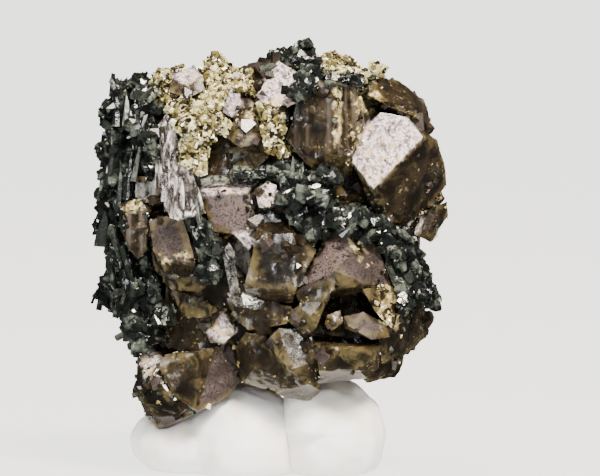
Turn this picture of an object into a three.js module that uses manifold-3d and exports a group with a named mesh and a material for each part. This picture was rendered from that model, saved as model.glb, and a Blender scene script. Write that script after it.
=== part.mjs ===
// Andradite garnet specimen: brown garnets grown together, with dark green bladed crystals down one
// flank and in a band across the front, a crust of pale druse, two clear prisms, and the lump of white
// putty that holds it upright. Millimetres, +Z up. The viewer looks along +Y, a little from above.
// The origin is on the table, under the putty.

import * as THREE from "three";
import { ConvexGeometry } from "three/addons/geometries/ConvexGeometry.js";
import { mergeVertices } from "three/addons/utils/BufferGeometryUtils.js";
import Module from "manifold-3d";

const wasm = await Module();
wasm.setup();

// Driving dimensions.
const VIEW_TILT_DEG = 4; // how far above the horizon the corners below were seen from
const GAP = 0.25; // least clearance that one mineral keeps to the next
const CRYSTAL_DEPTH = 6; // how far a crystal in the front wall reaches back into the cluster
const CRYSTAL_TAPER = 0.62; // size of its back end beside its front
const DRUSE_GRAINS = { left: 20, streak: 3, cap: 6 };
const FLANK_ROWS = 2; // coarse lumps on the hidden part of the left side: rows from front to back
const FLANK_LUMPS_PER_ROW = 4;
const FLANK_RISE = 20; // height of the stretch that they cover
const SIDE_LUMP = 5.2;
const SLIVER = 0.02;
const SEED = 20;

const DEG = Math.PI / 180;
const VIEW_SLOPE = Math.tan(VIEW_TILT_DEG * DEG);

// Colours as linear roughness and metalness, one material for each mineral.
const finish = (color, roughness) =>
  new THREE.MeshStandardMaterial({ color, roughness, flatShading: true });
const finishes = {
  garnet: finish(0x4a3b2c, 0.35),
  green: finish(0x2a3631, 0.4),
  druse: finish(0xcdbd88, 0.6),
  clear: finish(0xb9bab2, 0.15),
  putty: finish(0xf4f0ea, 0.7),
};

// A repeatable stream of numbers from 0 to 1.
function randomStream(seed) {
  let state = seed >>> 0;
  return () => {
    state = (state + 0x6d2b79f5) >>> 0;
    let t = Math.imul(state ^ (state >>> 15), 1 | state);
    t = (t + Math.imul(t ^ (t >>> 7), 61 | t)) ^ t;
    return ((t ^ (t >>> 14)) >>> 0) / 4294967296;
  };
}

// A corner given as it is seen from the front: x to the right, height above the table, and how far
// it stands forward.
function corner([x, height, forward]) {
  return new THREE.Vector3(x, -forward, height + forward * VIEW_SLOPE);
}

// Every convex member of a mineral is a list of corners. This makes a crystal from its front
// corners, and closes it further back with a smaller outline of every other corner.
function crystal(corners, depth = CRYSTAL_DEPTH, taper = CRYSTAL_TAPER) {
  const front = corners.map(corner);
  const middle = front.reduce((sum, p) => sum.add(p), new THREE.Vector3()).divideScalar(front.length);
  const back = front
    .filter((p, n) => n % 2 === 0)
    .map((p) => {
      const x = middle.x + (p.x - middle.x) * taper;
      const z = middle.z + (p.z - middle.z) * taper;
      return new THREE.Vector3(x, Math.max(p.y, middle.y) + depth, z);
    });
  return [...front, ...back];
}

// The rhombic dodecahedron that garnet grows as, with edges of the given length, turned by three
// angles in degrees.
function dodecahedron([x, height, forward], edge, turn = [0, 0, 0]) {
  const unit = edge / Math.sqrt(3);
  const points = [];
  for (const i of [-1, 1]) {
    for (const j of [-1, 1]) for (const k of [-1, 1]) points.push(new THREE.Vector3(i, j, k));
    points.push(new THREE.Vector3(2 * i, 0, 0));
    points.push(new THREE.Vector3(0, 2 * i, 0));
    points.push(new THREE.Vector3(0, 0, 2 * i));
  }
  const spin = new THREE.Euler(...turn.map((angle) => angle * DEG));
  const middle = corner([x, height, forward]);
  return points.map((p) => p.multiplyScalar(unit).applyEuler(spin).add(middle));
}

// A four-sided blade from one end to the other, rolled about its length. Its far end is cut to a chisel.
function blade(from, to, width, thickness, roll = 0) {
  const [foot, tip] = [corner(from), corner(to)];
  const along = tip.clone().sub(foot).normalize();
  const level = new THREE.Vector3(1, 0, 0).projectOnPlane(along).normalize();
  const across = level.applyAxisAngle(along, roll * DEG);
  const flat = new THREE.Vector3().crossVectors(along, across);
  const points = [];
  for (const i of [-0.5, 0.5]) {
    for (const j of [-0.5, 0.5]) {
      const out = across.clone().multiplyScalar(i * width).addScaledVector(flat, j * thickness);
      points.push(foot.clone().add(out));
      points.push(tip.clone().add(out).addScaledVector(along, (j - 0.5) * width * 0.5));
    }
  }
  return points;
}

// A lump with six uneven faces, about as wide as the given size.
function lump([x, height, forward], size, random) {
  const spin = new THREE.Euler(random() * 3, random() * 3, random() * 3);
  const points = [];
  for (const i of [-0.5, 0.5]) {
    for (const j of [-0.5, 0.5]) {
      for (const k of [-0.5, 0.5]) {
        const reach = size * (0.75 + 0.4 * random());
        const out = new THREE.Vector3(i, j, k).multiplyScalar(reach).applyEuler(spin);
        points.push(out.add(corner([x, height, forward])));
      }
    }
  }
  return points;
}

// The same convex member, made larger about its middle until every face has moved out by the gap.
function grown(points) {
  const middle = points.reduce((sum, p) => sum.add(p), new THREE.Vector3()).divideScalar(points.length);
  const faces = new ConvexGeometry(points).attributes.position;
  const at = (n) => new THREE.Vector3().fromBufferAttribute(faces, n);
  let nearest = Infinity;
  for (let n = 0; n < faces.count; n += 3) {
    const plane = new THREE.Plane().setFromCoplanarPoints(at(n), at(n + 1), at(n + 2));
    nearest = Math.min(nearest, Math.abs(plane.distanceToPoint(middle)));
  }
  return points.map((p) => p.clone().sub(middle).multiplyScalar(1 + GAP / nearest).add(middle));
}

function toManifold(geometry) {
  for (const name of ["normal", "uv"]) geometry.deleteAttribute(name);
  const merged = mergeVertices(geometry, 1e-4);
  return new wasm.Manifold(
    new wasm.Mesh({
      numProp: 3,
      vertProperties: new Float32Array(merged.attributes.position.array),
      triVerts: new Uint32Array(merged.index.array),
    }),
  );
}

// One solid from convex members that overlap.
function join(members) {
  let solids = members.map((points) => toManifold(new ConvexGeometry(points)));
  while (solids.length > 1) {
    const next = [];
    for (let i = 0; i + 1 < solids.length; i += 2) next.push(solids[i].add(solids[i + 1]));
    if (solids.length % 2) next.push(solids.at(-1));
    solids = next;
  }
  return solids[0];
}

// The largest body of a solid, with any hollow sealed inside it filled.
function mainBody(solid) {
  return solid.decompose().reduce((best, body) => (body.volume() > best.volume() ? body : best));
}

// A named mesh of a solid, without the slivers that the joining leaves.
function node(name, solid, finish) {
  const mesh = solid.simplify(SLIVER).getMesh();
  const geometry = new THREE.BufferGeometry();
  geometry.setAttribute("position", new THREE.BufferAttribute(new Float32Array(mesh.vertProperties), 3));
  geometry.setIndex(new THREE.BufferAttribute(new Uint32Array(mesh.triVerts), 1));
  geometry.computeVertexNormals();
  const made = new THREE.Mesh(geometry, finish);
  made.name = name;
  return made;
}

// Small crystals set at random on the outside of a solid, wherever the place given by its seen x,
// height and forward is wanted. Each is a member made by a function of the place, the way out of the
// surface, and the random stream.
function scatter(solid, count, wanted, make, random) {
  const { vertProperties: v, triVerts: t } = solid.getMesh();
  const at = (i) => new THREE.Vector3(v[3 * i], v[3 * i + 1], v[3 * i + 2]);
  const triangles = [];
  let area = 0;
  for (let i = 0; i < t.length; i += 3) {
    const [a, b, c] = [at(t[i]), at(t[i + 1]), at(t[i + 2])];
    const out = b.clone().sub(a).cross(c.clone().sub(a));
    area += out.length() / 2;
    triangles.push({ a, b, c, out: out.normalize(), upTo: area });
  }
  const members = [];
  for (let tries = 0; members.length < count && tries < count * 60; tries++) {
    const pick = random() * area;
    const face = triangles.find((f) => f.upTo >= pick);
    let [r, s] = [random(), random()];
    if (r + s > 1) [r, s] = [1 - r, 1 - s];
    const p = face.a
      .clone()
      .addScaledVector(face.b.clone().sub(face.a), r)
      .addScaledVector(face.c.clone().sub(face.a), s);
    if (wanted(p.x, p.z + p.y * VIEW_SLOPE, -p.y)) members.push(make(p, face.out, random));
  }
  return members;
}

// A small eight-faced crystal, turned any way, half sunk in the surface.
function grain(size, sink = 0.25) {
  return (place, out, random) => {
    const reach = size * (0.6 + 0.8 * random());
    const spin = new THREE.Euler(random() * 3, random() * 3, random() * 3);
    const points = [];
    for (const i of [-0.5, 0.5]) {
      points.push(new THREE.Vector3(i, 0, 0));
      points.push(new THREE.Vector3(0, 0.9 * i, 0));
      points.push(new THREE.Vector3(0, 0, 1.3 * i));
    }
    return points.map((p) =>
      p.multiplyScalar(reach).applyEuler(spin).add(place).addScaledVector(out, reach * (0.5 - sink) * 0.5),
    );
  };
}

// The brown garnets of the front wall, each by its front corners.
const frontGarnets = {
  striated: crystal([
    [1.2, 30.3, 9.7], [2.9, 28.2, 10.3], [2.3, 34.1, 10.1], [4.1, 35.5, 10.8], [5.8, 35.6, 11.5],
    [5.9, 29.2, 11.5], [7.4, 29.4, 10.0], [8.9, 32.2, 8.3], [7.7, 34.8, 9.6], [4.0, 27.3, 9.2],
    [6.5, 27.1, 8.8], [7.5, 28.3, 8.4],
  ]),
  whiteFaced: crystal([
    [9.8, 32.7, 8.2], [12.2, 32.3, 8.0], [13.6, 30.5, 8.6], [9.1, 25.7, 11.0], [7.2, 28.2, 9.8],
    [8.2, 31.2, 8.8], [14.9, 30.2, 5.2], [15.7, 28.0, 3.5], [15.9, 26.2, 2.0], [12.4, 22.4, 6.4],
    [9.4, 23.2, 8.4],
  ]),
  topRight: crystal([
    [9.9, 36.0, 4.6], [11.4, 35.8, 3.4], [12.4, 35.0, 3.2], [13.6, 34.0, 2.4], [14.2, 33.0, 2.4],
    [14.5, 31.2, 3.6], [10.4, 33.3, 8.4], [12.8, 32.4, 7.6], [8.7, 34.3, 7.8], [8.8, 35.4, 6.6],
  ]),
  lowRightEdge: crystal([
    [13.2, 23.3, 5.8], [15.9, 24.7, 2.6], [16.05, 23.4, 2.0], [15.2, 22.2, 2.6], [14.4, 21.0, 3.0],
    [12.9, 21.7, 5.6],
  ], 5),
  rightNose: crystal([
    [12.2, 21.2, 5.4], [14.1, 20.4, 2.6], [14.6, 18.6, 2.2], [14.0, 17.4, 3.0], [12.4, 17.6, 5.6],
  ], 5),
  whiteCap: crystal([
    [0.5, 37.4, 6.6], [3.1, 35.9, 8.2], [2.2, 33.6, 9.6], [0.1, 32.4, 9.8], [-1.5, 34.3, 8.0],
  ]),
  capBehind: crystal([
    [-4.0, 35.9, 3.6], [-1.2, 36.9, 2.2], [2.6, 37.4, 1.0], [6.4, 36.4, 1.6], [8.2, 35.0, 2.6],
    [3.4, 35.0, 6.4], [-2.2, 34.8, 6.8],
  ], 5),
  paleLedge: crystal([
    [-4.0, 34.5, 8.4], [-2.9, 34.5, 8.8], [-2.7, 33.2, 9.2], [-3.6, 32.2, 9.2], [-4.5, 32.8, 8.4],
  ], 4),
  amberDiamond: crystal([
    [-3.3, 33.0, 8.4], [-1.6, 32.6, 8.6], [-0.8, 31.0, 8.8], [-1.2, 30.0, 9.6], [-2.9, 29.5, 10.2],
    [-4.0, 30.4, 9.2], [-3.3, 32.0, 9.6],
  ]),
  amberFoot: crystal([
    [-3.9, 29.6, 8.4], [-0.6, 30.0, 8.8], [-0.3, 28.6, 9.4], [-1.6, 27.6, 9.2], [-3.8, 27.4, 8.6],
    [-4.4, 28.6, 8.0],
  ]),
  brownBlock: crystal([
    [-8.0, 34.9, 6.8], [-6.3, 36.0, 6.4], [-6.1, 34.8, 7.6], [-7.5, 34.1, 7.8], [-9.0, 36.3, 4.6],
    [-7.2, 37.0, 4.0], [-9.4, 34.6, 6.4],
  ], 5),
  flatTopped: crystal([
    [-6.6, 25.6, 9.8], [-2.4, 25.4, 10.8], [-5.6, 26.7, 7.6], [-1.4, 26.6, 8.2], [-5.3, 22.0, 9.8],
    [-3.5, 21.7, 10.4], [-1.3, 22.0, 10.8], [-1.1, 22.6, 10.8], [-2.1, 24.1, 10.9], [-5.9, 23.2, 9.7],
  ]),
  sugarBlock: crystal([
    [-1.5, 25.1, 11.2], [-1.2, 24.1, 11.2], [-0.4, 24.1, 11.5], [0.2, 24.5, 11.3], [0.4, 26.1, 10.9],
    [-0.4, 26.5, 10.7], [-1.2, 26.0, 10.9],
  ], 4),
  brightWedge: crystal([
    [-3.5, 21.8, 10.4], [-1.3, 22.0, 11.0], [-1.7, 21.0, 11.2], [-2.1, 20.2, 10.8], [-2.3, 20.8, 10.2],
  ], 4),
  central: crystal([
    [-1.4, 21.6, 11.0], [1.8, 21.8, 10.9], [4.0, 20.3, 10.5], [2.1, 16.6, 11.6], [-2.5, 17.0, 11.4],
    [-1.1, 22.7, 9.8], [1.4, 22.9, 9.6], [-2.2, 15.8, 9.8], [1.9, 15.4, 10.0],
  ]),
  bigLower: crystal([
    [5.6, 22.0, 8.6], [4.5, 21.0, 9.0], [2.1, 16.0, 11.0], [2.4, 15.3, 11.0], [5.8, 18.3, 12.0],
    [5.5, 16.7, 12.0], [8.3, 17.2, 11.2], [10.7, 17.0, 9.2], [10.2, 18.9, 8.9], [9.5, 20.6, 8.5],
    [8.6, 21.5, 7.8],
  ]),
  archLeft: crystal([
    [1.5, 14.6, 10.8], [2.3, 15.4, 11.3], [5.4, 16.8, 11.9], [4.4, 15.5, 12.0], [3.4, 14.3, 12.0],
    [3.9, 13.2, 11.8], [3.0, 12.6, 11.0], [1.4, 13.8, 10.4],
  ], 4),
  archRight: crystal([
    [8.2, 16.7, 11.4], [10.8, 17.1, 9.4], [11.7, 14.6, 9.2], [11.2, 12.8, 9.6], [10.6, 13.4, 10.6],
    [9.3, 14.6, 11.6],
  ], 4),
  archCrystal: crystal([
    [6.4, 14.3, 10.8], [8.2, 14.7, 10.8], [10.2, 13.6, 10.4], [10.6, 12.4, 10.6], [9.0, 12.2, 11.4],
    [6.9, 13.4, 11.6], [6.5, 13.2, 10.8],
  ], 5),
  archKnob: crystal([
    [4.9, 14.4, 10.4], [6.2, 14.9, 10.2], [6.3, 13.6, 10.8], [5.4, 13.0, 10.9], [4.7, 13.5, 10.4],
  ], 4),
  lowerShelf: crystal([
    [3.7, 12.0, 10.6], [4.5, 11.1, 12.0], [6.8, 11.4, 12.2], [8.9, 10.7, 11.8], [9.8, 11.8, 9.8],
    [9.6, 9.6, 9.4], [8.6, 8.6, 9.0], [4.3, 8.1, 9.4], [4.2, 9.6, 11.6], [7.8, 9.4, 11.4],
  ]),
  rightWall: crystal([
    [11.6, 16.4, 6.4], [13.9, 15.0, 3.6], [14.25, 13.9, 2.8], [14.0, 12.3, 3.0], [12.0, 10.6, 5.0],
    [9.9, 10.0, 8.8], [9.6, 12.3, 9.8], [11.1, 13.2, 9.2],
  ]),
  rightFoot: crystal([
    [8.4, 8.15, 6.4], [11.2, 8.6, 4.4], [11.7, 9.2, 4.2], [12.0, 10.5, 4.6], [9.6, 10.6, 8.0],
    [8.5, 9.6, 8.2],
  ], 5),
  bottomBanded: crystal([
    [0.3, 7.3, 8.8], [1.2, 6.7, 7.6], [3.4, 6.6, 7.8], [4.4, 7.5, 8.8], [4.2, 10.4, 10.8],
    [3.4, 12.9, 10.2], [0.6, 13.2, 10.4], [-0.7, 11.9, 10.3], [1.6, 9.4, 11.4], [3.2, 8.2, 10.6],
  ]),
  bottomDark: crystal([
    [-2.7, 8.2, 7.4], [0.4, 7.4, 8.6], [0.8, 9.4, 10.4], [-0.6, 12.5, 10.2], [-2.4, 12.9, 9.2],
    [-3.4, 11.4, 8.2], [-1.6, 9.6, 9.6],
  ]),
  underCentral: crystal([
    [-4.1, 15.9, 8.6], [-2.4, 15.8, 9.6], [1.8, 15.2, 10.2], [1.3, 13.6, 10.6], [-2.2, 13.0, 9.8],
    [-3.4, 14.0, 9.0],
  ], 5),
  pinkSparkle: crystal([
    [-6.0, 12.8, 8.4], [-5.1, 13.3, 9.0], [-4.6, 14.7, 8.4], [-4.1, 14.1, 9.0], [-3.3, 12.8, 9.0],
    [-4.4, 11.8, 9.4], [-5.6, 11.9, 8.8],
  ], 4),
  footRight: crystal([
    [-6.8, 11.0, 9.4], [-4.9, 11.5, 8.0], [-4.3, 10.9, 7.6], [-3.0, 8.3, 6.2], [-3.9, 6.8, 6.4],
    [-6.7, 5.7, 9.2], [-9.7, 10.8, 8.0], [-10.4, 9.6, 8.2], [-8.8, 6.9, 8.8], [-7.2, 5.3, 8.0],
  ]),
  footLeft: crystal([
    [-12.2, 10.3, 5.6], [-11.3, 11.5, 4.6], [-9.9, 10.6, 6.8], [-10.8, 9.0, 8.0], [-11.5, 8.2, 7.6],
    [-12.5, 7.0, 5.4], [-11.5, 6.0, 6.4], [-9.0, 6.8, 8.8],
  ]),
  footTip: crystal([
    [-12.3, 7.0, 5.2], [-11.4, 4.95, 4.6], [-10.9, 4.9, 5.8], [-10.4, 3.95, 5.2], [-9.6, 4.0, 4.8],
    [-8.5, 4.5, 5.4], [-7.0, 5.4, 7.6], [-8.8, 6.6, 8.6], [-11.3, 6.2, 7.0],
  ]),
  leftRimmed: crystal([
    [-13.8, 24.4, 6.6], [-12.0, 24.9, 7.6], [-11.3, 24.0, 8.8], [-11.3, 20.2, 9.0], [-12.2, 19.4, 8.2],
    [-12.9, 20.2, 7.4], [-14.0, 22.4, 6.4],
  ]),
  leftPurple: crystal([
    [-11.2, 22.9, 8.6], [-9.6, 23.3, 9.2], [-8.0, 23.0, 9.8], [-6.9, 19.1, 10.4], [-10.0, 19.3, 9.6],
    [-10.8, 20.2, 9.0], [-7.2, 18.3, 8.8], [-9.8, 18.2, 8.2],
  ]),
  amberWindow: crystal([
    [-12.5, 27.0, 6.8], [-10.8, 27.0, 7.8], [-10.0, 25.6, 8.2], [-10.6, 24.6, 8.2], [-12.4, 24.6, 7.2],
  ], 4),
  glassyBrown: crystal([
    [-9.9, 18.4, 7.8], [-6.6, 18.4, 8.8], [-5.9, 17.2, 8.6], [-6.6, 16.4, 8.6], [-9.0, 16.7, 8.2],
    [-9.9, 17.4, 7.6],
  ], 4),
  goldenShard: crystal([
    [-9.0, 16.6, 7.0], [-6.3, 15.9, 8.0], [-4.9, 14.8, 8.2], [-6.2, 14.0, 8.4], [-8.2, 14.3, 8.0],
  ], 4),
};

// Plain walls of garnet that close the front behind the crystals above.
const innerWalls = [
  [
    [-10.2, 25.0, 6.6], [-9.0, 31.6, 6.2], [-3.6, 34.4, 7.2], [1.4, 33.0, 7.6], [1.6, 27.0, 8.6],
    [-5.0, 26.0, 8.6], [-9.0, 23.0, 7.6],
  ],
  [
    [0.6, 33.0, 7.6], [8.6, 33.0, 6.4], [11.6, 30.0, 5.6], [10.4, 23.0, 6.2], [5.0, 22.0, 8.4],
    [-0.4, 25.8, 8.4],
  ],
  [
    [-11.2, 23.6, 6.2], [-5.4, 25.4, 8.2], [-0.6, 25.2, 8.2], [4.6, 22.0, 8.4], [1.0, 15.0, 9.0],
    [-5.4, 15.0, 7.6], [-10.8, 18.4, 6.2],
  ],
  [
    [-9.6, 17.6, 6.2], [-4.6, 16.0, 7.6], [1.4, 14.6, 8.6], [4.0, 9.4, 8.0], [-2.4, 9.0, 7.2],
    [-6.6, 10.4, 7.0], [-10.0, 11.6, 5.6],
  ],
].map((corners) => crystal(corners, 8, 0.85));

// Whole garnets that fill the cluster and make its sides, top and back: place, edge length, turn.
const wholeGarnets = [
  [[1.5, 28.6, 2.0], 7.4, [10, 20, 40]],
  [[-4.0, 26.4, 1.6], 7.0, [30, 10, 12]],
  [[6.5, 24.0, 1.6], 6.8, [50, 30, 5]],
  [[-1.6, 19.0, 1.6], 6.6, [20, 45, 70]],
  [[6.2, 15.6, 2.6], 5.8, [15, 40, 20]],
  [[-7.4, 12.4, 2.2], 4.2, [60, 25, 15]],
  [[9.0, 30.6, 1.0], 4.6, [15, 60, 10]], [[-7.4, 30.0, 1.0], 5.0, [25, 5, 75]],
  [[10.8, 29.4, -1.0], 3.4, [70, 15, 25]], [[12.2, 25.4, -0.8], 3.3, [45, 15, 5]],
  [[10.9, 13.4, 1.6], 2.9, [30, 30, 45]], [[5.6, 33.6, 0.6], 3.8, [20, 70, 30]],
  [[-2.4, 33.0, -0.6], 4.2, [45, 20, 10]],
  [[-7.8, 30.4, -5.2], 4.3, [12, 50, 20]],
  [[-1.6, 31.6, -6.2], 4.5, [40, 15, 60]],
  [[6.6, 30.4, -5.0], 5.2, [5, 30, 15]],
  [[9.4, 23.0, -5.2], 4.9, [20, 40, 80]],
  [[0.6, 25.2, -7.6], 5.6, [25, 35, 50]],
  [[-6.6, 24.2, -6.8], 5.0, [10, 5, 40]],
  [[-8.4, 17.6, -3.8], 3.9, [70, 20, 30]],
  [[-3.6, 17.4, -7.2], 5.0, [15, 25, 10]],
  [[3.6, 16.8, -7.4], 4.8, [40, 50, 25]],
  [[9.2, 15.4, -4.4], 3.7, [25, 10, 65]],
  [[4.8, 11.6, -3.0], 3.4, [50, 35, 15]], [[-4.8, 12.0, -2.6], 4.2, [30, 60, 45]],
].map(([place, edge, turn]) => dodecahedron(place, edge, turn));

const random = randomStream(SEED);
const garnets = [...Object.values(frontGarnets), ...innerWalls, ...wholeGarnets];

// The two clear prisms: a broad frosted one that leans beside the druse, and a slim glassy one with
// its foot.
const palePrism = [
  crystal([
    [-10.3, 31.6, 8.6], [-9.6, 32.6, 8.2], [-8.8, 31.9, 8.6], [-8.3, 29.0, 9.6], [-8.6, 27.6, 10.0],
    [-10.0, 28.2, 9.6], [-9.6, 31.4, 9.4],
  ], 2.4, 0.8),
  crystal([
    [-10.2, 28.0, 9.4], [-9.0, 28.6, 9.6], [-7.4, 27.6, 10.0], [-6.4, 25.2, 10.4], [-6.0, 23.6, 10.6],
    [-8.4, 22.9, 10.8], [-9.2, 23.2, 10.6], [-9.8, 25.0, 10.2], [-8.2, 26.6, 11.0], [-7.8, 23.4, 11.2],
  ], 2.8, 0.8),
];
const clearPrism = [
  crystal([
    [-4.5, 20.2, 10.8], [-3.9, 20.9, 10.6], [-3.4, 20.2, 10.9], [-2.9, 16.0, 11.4], [-3.7, 15.8, 11.3],
    [-4.3, 19.6, 11.0], [-3.8, 19.8, 11.4],
  ], 2.2, 0.8),
  crystal([
    [-4.1, 16.4, 10.8], [-3.3, 15.2, 11.2], [-1.4, 14.9, 11.2], [-0.6, 15.6, 10.8], [-2.6, 16.4, 11.5],
  ], 2.2, 0.8),
];

// The dark green flank: a root that grips the garnets down the left side, and the blades and lumps
// that stand on it.
const flankRoot = [
  crystal([
    [-13.7, 35.5, 2.4], [-11.3, 35.8, 3.2], [-10.6, 33.0, 5.0], [-12.6, 27.0, 5.2], [-13.9, 27.0, 3.6],
    [-13.8, 33.2, 2.4],
  ], 5, 0.8),
  crystal([
    [-13.6, 28.6, 4.6], [-10.8, 28.6, 6.2], [-10.8, 20.0, 6.2], [-14.2, 20.6, 3.6], [-14.4, 26.0, 3.0],
  ], 6, 0.8),
  crystal([
    [-13.8, 21.2, 3.8], [-11.8, 21.0, 5.6], [-10.2, 16.6, 6.8], [-9.8, 12.8, 6.6], [-12.2, 12.2, 5.2],
    [-13.4, 13.2, 3.6],
  ], 5, 0.8),
  crystal([
    [-12.9, 13.6, 5.2], [-10.2, 13.8, 7.2], [-9.9, 12.0, 7.4], [-11.4, 11.1, 6.6], [-12.6, 11.4, 5.4],
  ], 3),
  crystal([
    [-12.2, 33.6, 4.6], [-10.8, 33.4, 6.4], [-10.2, 28.4, 8.0], [-11.6, 27.6, 7.4], [-12.8, 30.0, 5.8],
  ], 3),
];
const smoothPlate = crystal([
  [-16.05, 25.0, 2.8], [-15.3, 26.3, 3.0], [-14.2, 26.2, 4.0], [-13.9, 22.8, 4.6], [-15.15, 22.1, 3.6],
], 4, 0.9);
const flankBlades = [
  [[-13.9, 32.6, 3.4], [-13.9, 35.9, 2.8], 1.4, 1.5, 20],
  [[-11.8, 33.0, 5.0], [-11.8, 36.4, 3.8], 1.1, 1.6, 10],
  [[-14.3, 26.4, 4.2], [-14.5, 32.2, 3.6], 1.1, 1.1, 30],
  [[-11.4, 29.4, 6.8], [-12.6, 33.0, 5.8], 1.1, 0.9, 0],
  [[-10.4, 28.0, 8.0], [-11.2, 31.4, 7.2], 1.2, 1.0, 30],
  [[-10.4, 33.4, 6.4], [-13.2, 31.4, 5.6], 1.0, 0.9, 40],
  [[-13.6, 33.0, 3.8], [-15.3, 32.9, 3.0], 1.3, 1.2, 45],
  [[-14.2, 22.6, 4.0], [-15.0, 20.7, 3.8], 1.2, 1.3, 10],
  [[-13.9, 20.6, 4.8], [-12.9, 16.4, 6.0], 1.2, 0.8, 0],
  [[-13.2, 12.9, 4.6], [-14.5, 13.3, 3.8], 1.7, 0.6, 90],
  [[-12.4, 17.6, 6.0], [-13.6, 14.6, 5.4], 1.3, 1.1, 30],
].map((sizes) => blade(...sizes));
const flankLumps = [
  [[-14.9, 29.2, 3.4], 1.5],
  [[-15.1, 27.1, 3.4], 1.3],
  [[-14.0, 17.0, 3.8], 1.6],
  [[-12.4, 13.4, 6.0], 1.7],
  [[-9.9, 14.4, 7.6], 1.6], [[-12.1, 11.7, 5.8], 1.5],
].map(([place, size]) => lump(place, size, random));

// Out of the viewer's sight, coarser lumps carry it on along the whole left side, every other one
// with a blade.
const sideMembers = [];
for (let row = 0; row < FLANK_ROWS; row++) {
  for (let n = 0; n < FLANK_LUMPS_PER_ROW; n++) {
    const x = -11.9 + 0.3 * row;
    const height = 16.2 + (FLANK_RISE / FLANK_LUMPS_PER_ROW) * (n + 0.3 * random());
    const forward = 0.2 - 4.4 * row - 0.6 * random();
    const lean = 3 * (random() - 0.5);
    sideMembers.push(lump([x, height, forward], SIDE_LUMP, random));
    if (n % 2 === row % 2) {
      const foot = [x - 1.4, height - 1, forward];
      const tip = [x - 1.9, height + 2.2, forward + lean];
      sideMembers.push(blade(foot, tip, 1.6, 1, 90 * random()));
    }
  }
}
const greenFlank = [...flankRoot, smoothPlate, ...flankBlades, ...flankLumps, ...sideMembers];

// The green band across the front, from its thick left end to the clump on the right edge.
const greenBand = [
  crystal([
    [-4.3, 27.0, 8.4], [-1.4, 27.9, 8.6], [2.2, 28.4, 9.4], [5.8, 27.2, 9.2], [5.2, 24.2, 10.2],
    [1.6, 23.5, 10.8], [-0.4, 26.4, 10.0], [-2.6, 26.6, 9.6],
  ], 3),
  crystal([
    [1.2, 24.6, 10.4], [5.4, 24.8, 9.8], [5.0, 21.6, 10.6], [2.8, 20.6, 11.2], [1.4, 22.6, 10.8],
  ], 3),
  crystal([
    [4.4, 24.4, 10.0], [10.0, 24.0, 8.9], [9.9, 21.4, 9.6], [8.0, 21.4, 10.2], [5.0, 22.2, 10.4],
  ], 3),
  crystal([
    [9.2, 24.0, 8.8], [12.8, 21.6, 7.4], [13.6, 19.2, 6.4], [10.9, 18.2, 9.2], [9.6, 20.6, 9.6],
  ], 3),
  crystal([
    [11.0, 19.2, 8.6], [13.6, 19.4, 6.2], [14.3, 17.4, 5.0], [12.8, 15.2, 6.8], [11.2, 15.4, 9.6],
  ], 3),
  ...[
    [[-3.6, 26.9, 9.4], [1.6, 27.4, 10.4], 1.5, 0.8, 15],
    [[2.6, 25.5, 10.8], [5.2, 25.1, 11.4], 1.2, 1.0, 20],
    [[3.6, 26.8, 10.2], [6.3, 26.9, 10.0], 1.0, 0.8, 0],
    [[7.0, 22.4, 10.0], [8.4, 23.8, 10.8], 1.1, 1.0, 45],
    [[11.2, 19.0, 9.2], [12.6, 20.4, 9.2], 1.1, 0.9, 45],
    [[12.6, 17.8, 6.8], [14.9, 15.5, 4.4], 1.3, 1.1, 30],
    [[11.5, 17.4, 9.4], [11.9, 14.4, 10.0], 1.2, 1.0, 20],
  ].map((sizes) => blade(...sizes)),
  ...[
    [[1.9, 25.0, 11.0], 1.2],
    [[9.6, 22.4, 9.8], 1.4],
    [[12.6, 16.2, 7.6], 1.5],
  ].map(([place, size]) => lump(place, size, random)),
];

// The narrow green seam between the two purple garnets on the left.
const greenSeam = [
  crystal([
    [-8.0, 23.0, 9.4], [-5.6, 23.6, 9.6], [-4.8, 20.4, 10.2], [-4.6, 17.4, 10.2], [-6.6, 17.2, 10.0],
    [-7.2, 20.0, 10.2],
  ], 3),
  ...[[[-6.2, 22.2, 10.2], 1.3], [[-5.4, 20.6, 10.6], 1.3], [[-5.6, 18.2, 10.6], 1.4]].map(
    ([place, size]) => lump(place, size, random),
  ),
];

// The green crown on the top, and the knobs that hang from it in front.
const greenCrown = [
  crystal([
    [0.5, 38.3, 2.6], [2.6, 38.9, 2.0], [4.0, 38.0, 2.6], [4.4, 36.4, 6.6], [3.7, 35.9, 8.8],
    [0.9, 37.3, 6.0],
  ], 3),
  crystal([
    [3.1, 36.4, 8.9], [4.6, 36.2, 8.6], [4.4, 34.8, 11.6], [2.6, 34.0, 11.4], [2.0, 34.2, 11.0],
    [3.0, 35.6, 10.4],
  ], 2.4),
  crystal([
    [3.8, 36.0, 9.2], [8.0, 36.0, 7.4], [8.2, 34.8, 9.6], [6.2, 35.3, 11.6], [4.2, 35.2, 11.6],
  ], 2.4),
  ...[
    [[2.2, 38.2, 2.8], [3.6, 39.1, 2.4], 0.9, 0.8, 30],
    [[2.4, 37.6, 5.4], [4.2, 37.0, 6.4], 0.9, 0.8, 45],
    [[5.8, 35.6, 11.0], [8.1, 35.1, 10.2], 0.9, 0.6, 0],
    [[1.2, 38.2, 3.2], [-0.6, 38.0, 3.0], 0.8, 0.8, 20],
  ].map((sizes) => blade(...sizes)),
  lump([2.4, 34.5, 11.2], 1.4, random),
];

// The pale druse: sheets that follow the garnets under them, each with a crust of small block crystals.
function crust(sheets, count, size) {
  const onFront = (x, height, forward) => forward > 1;
  return [...sheets, ...scatter(join(sheets), count, onFront, grain(size, 0.2), random)];
}

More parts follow.
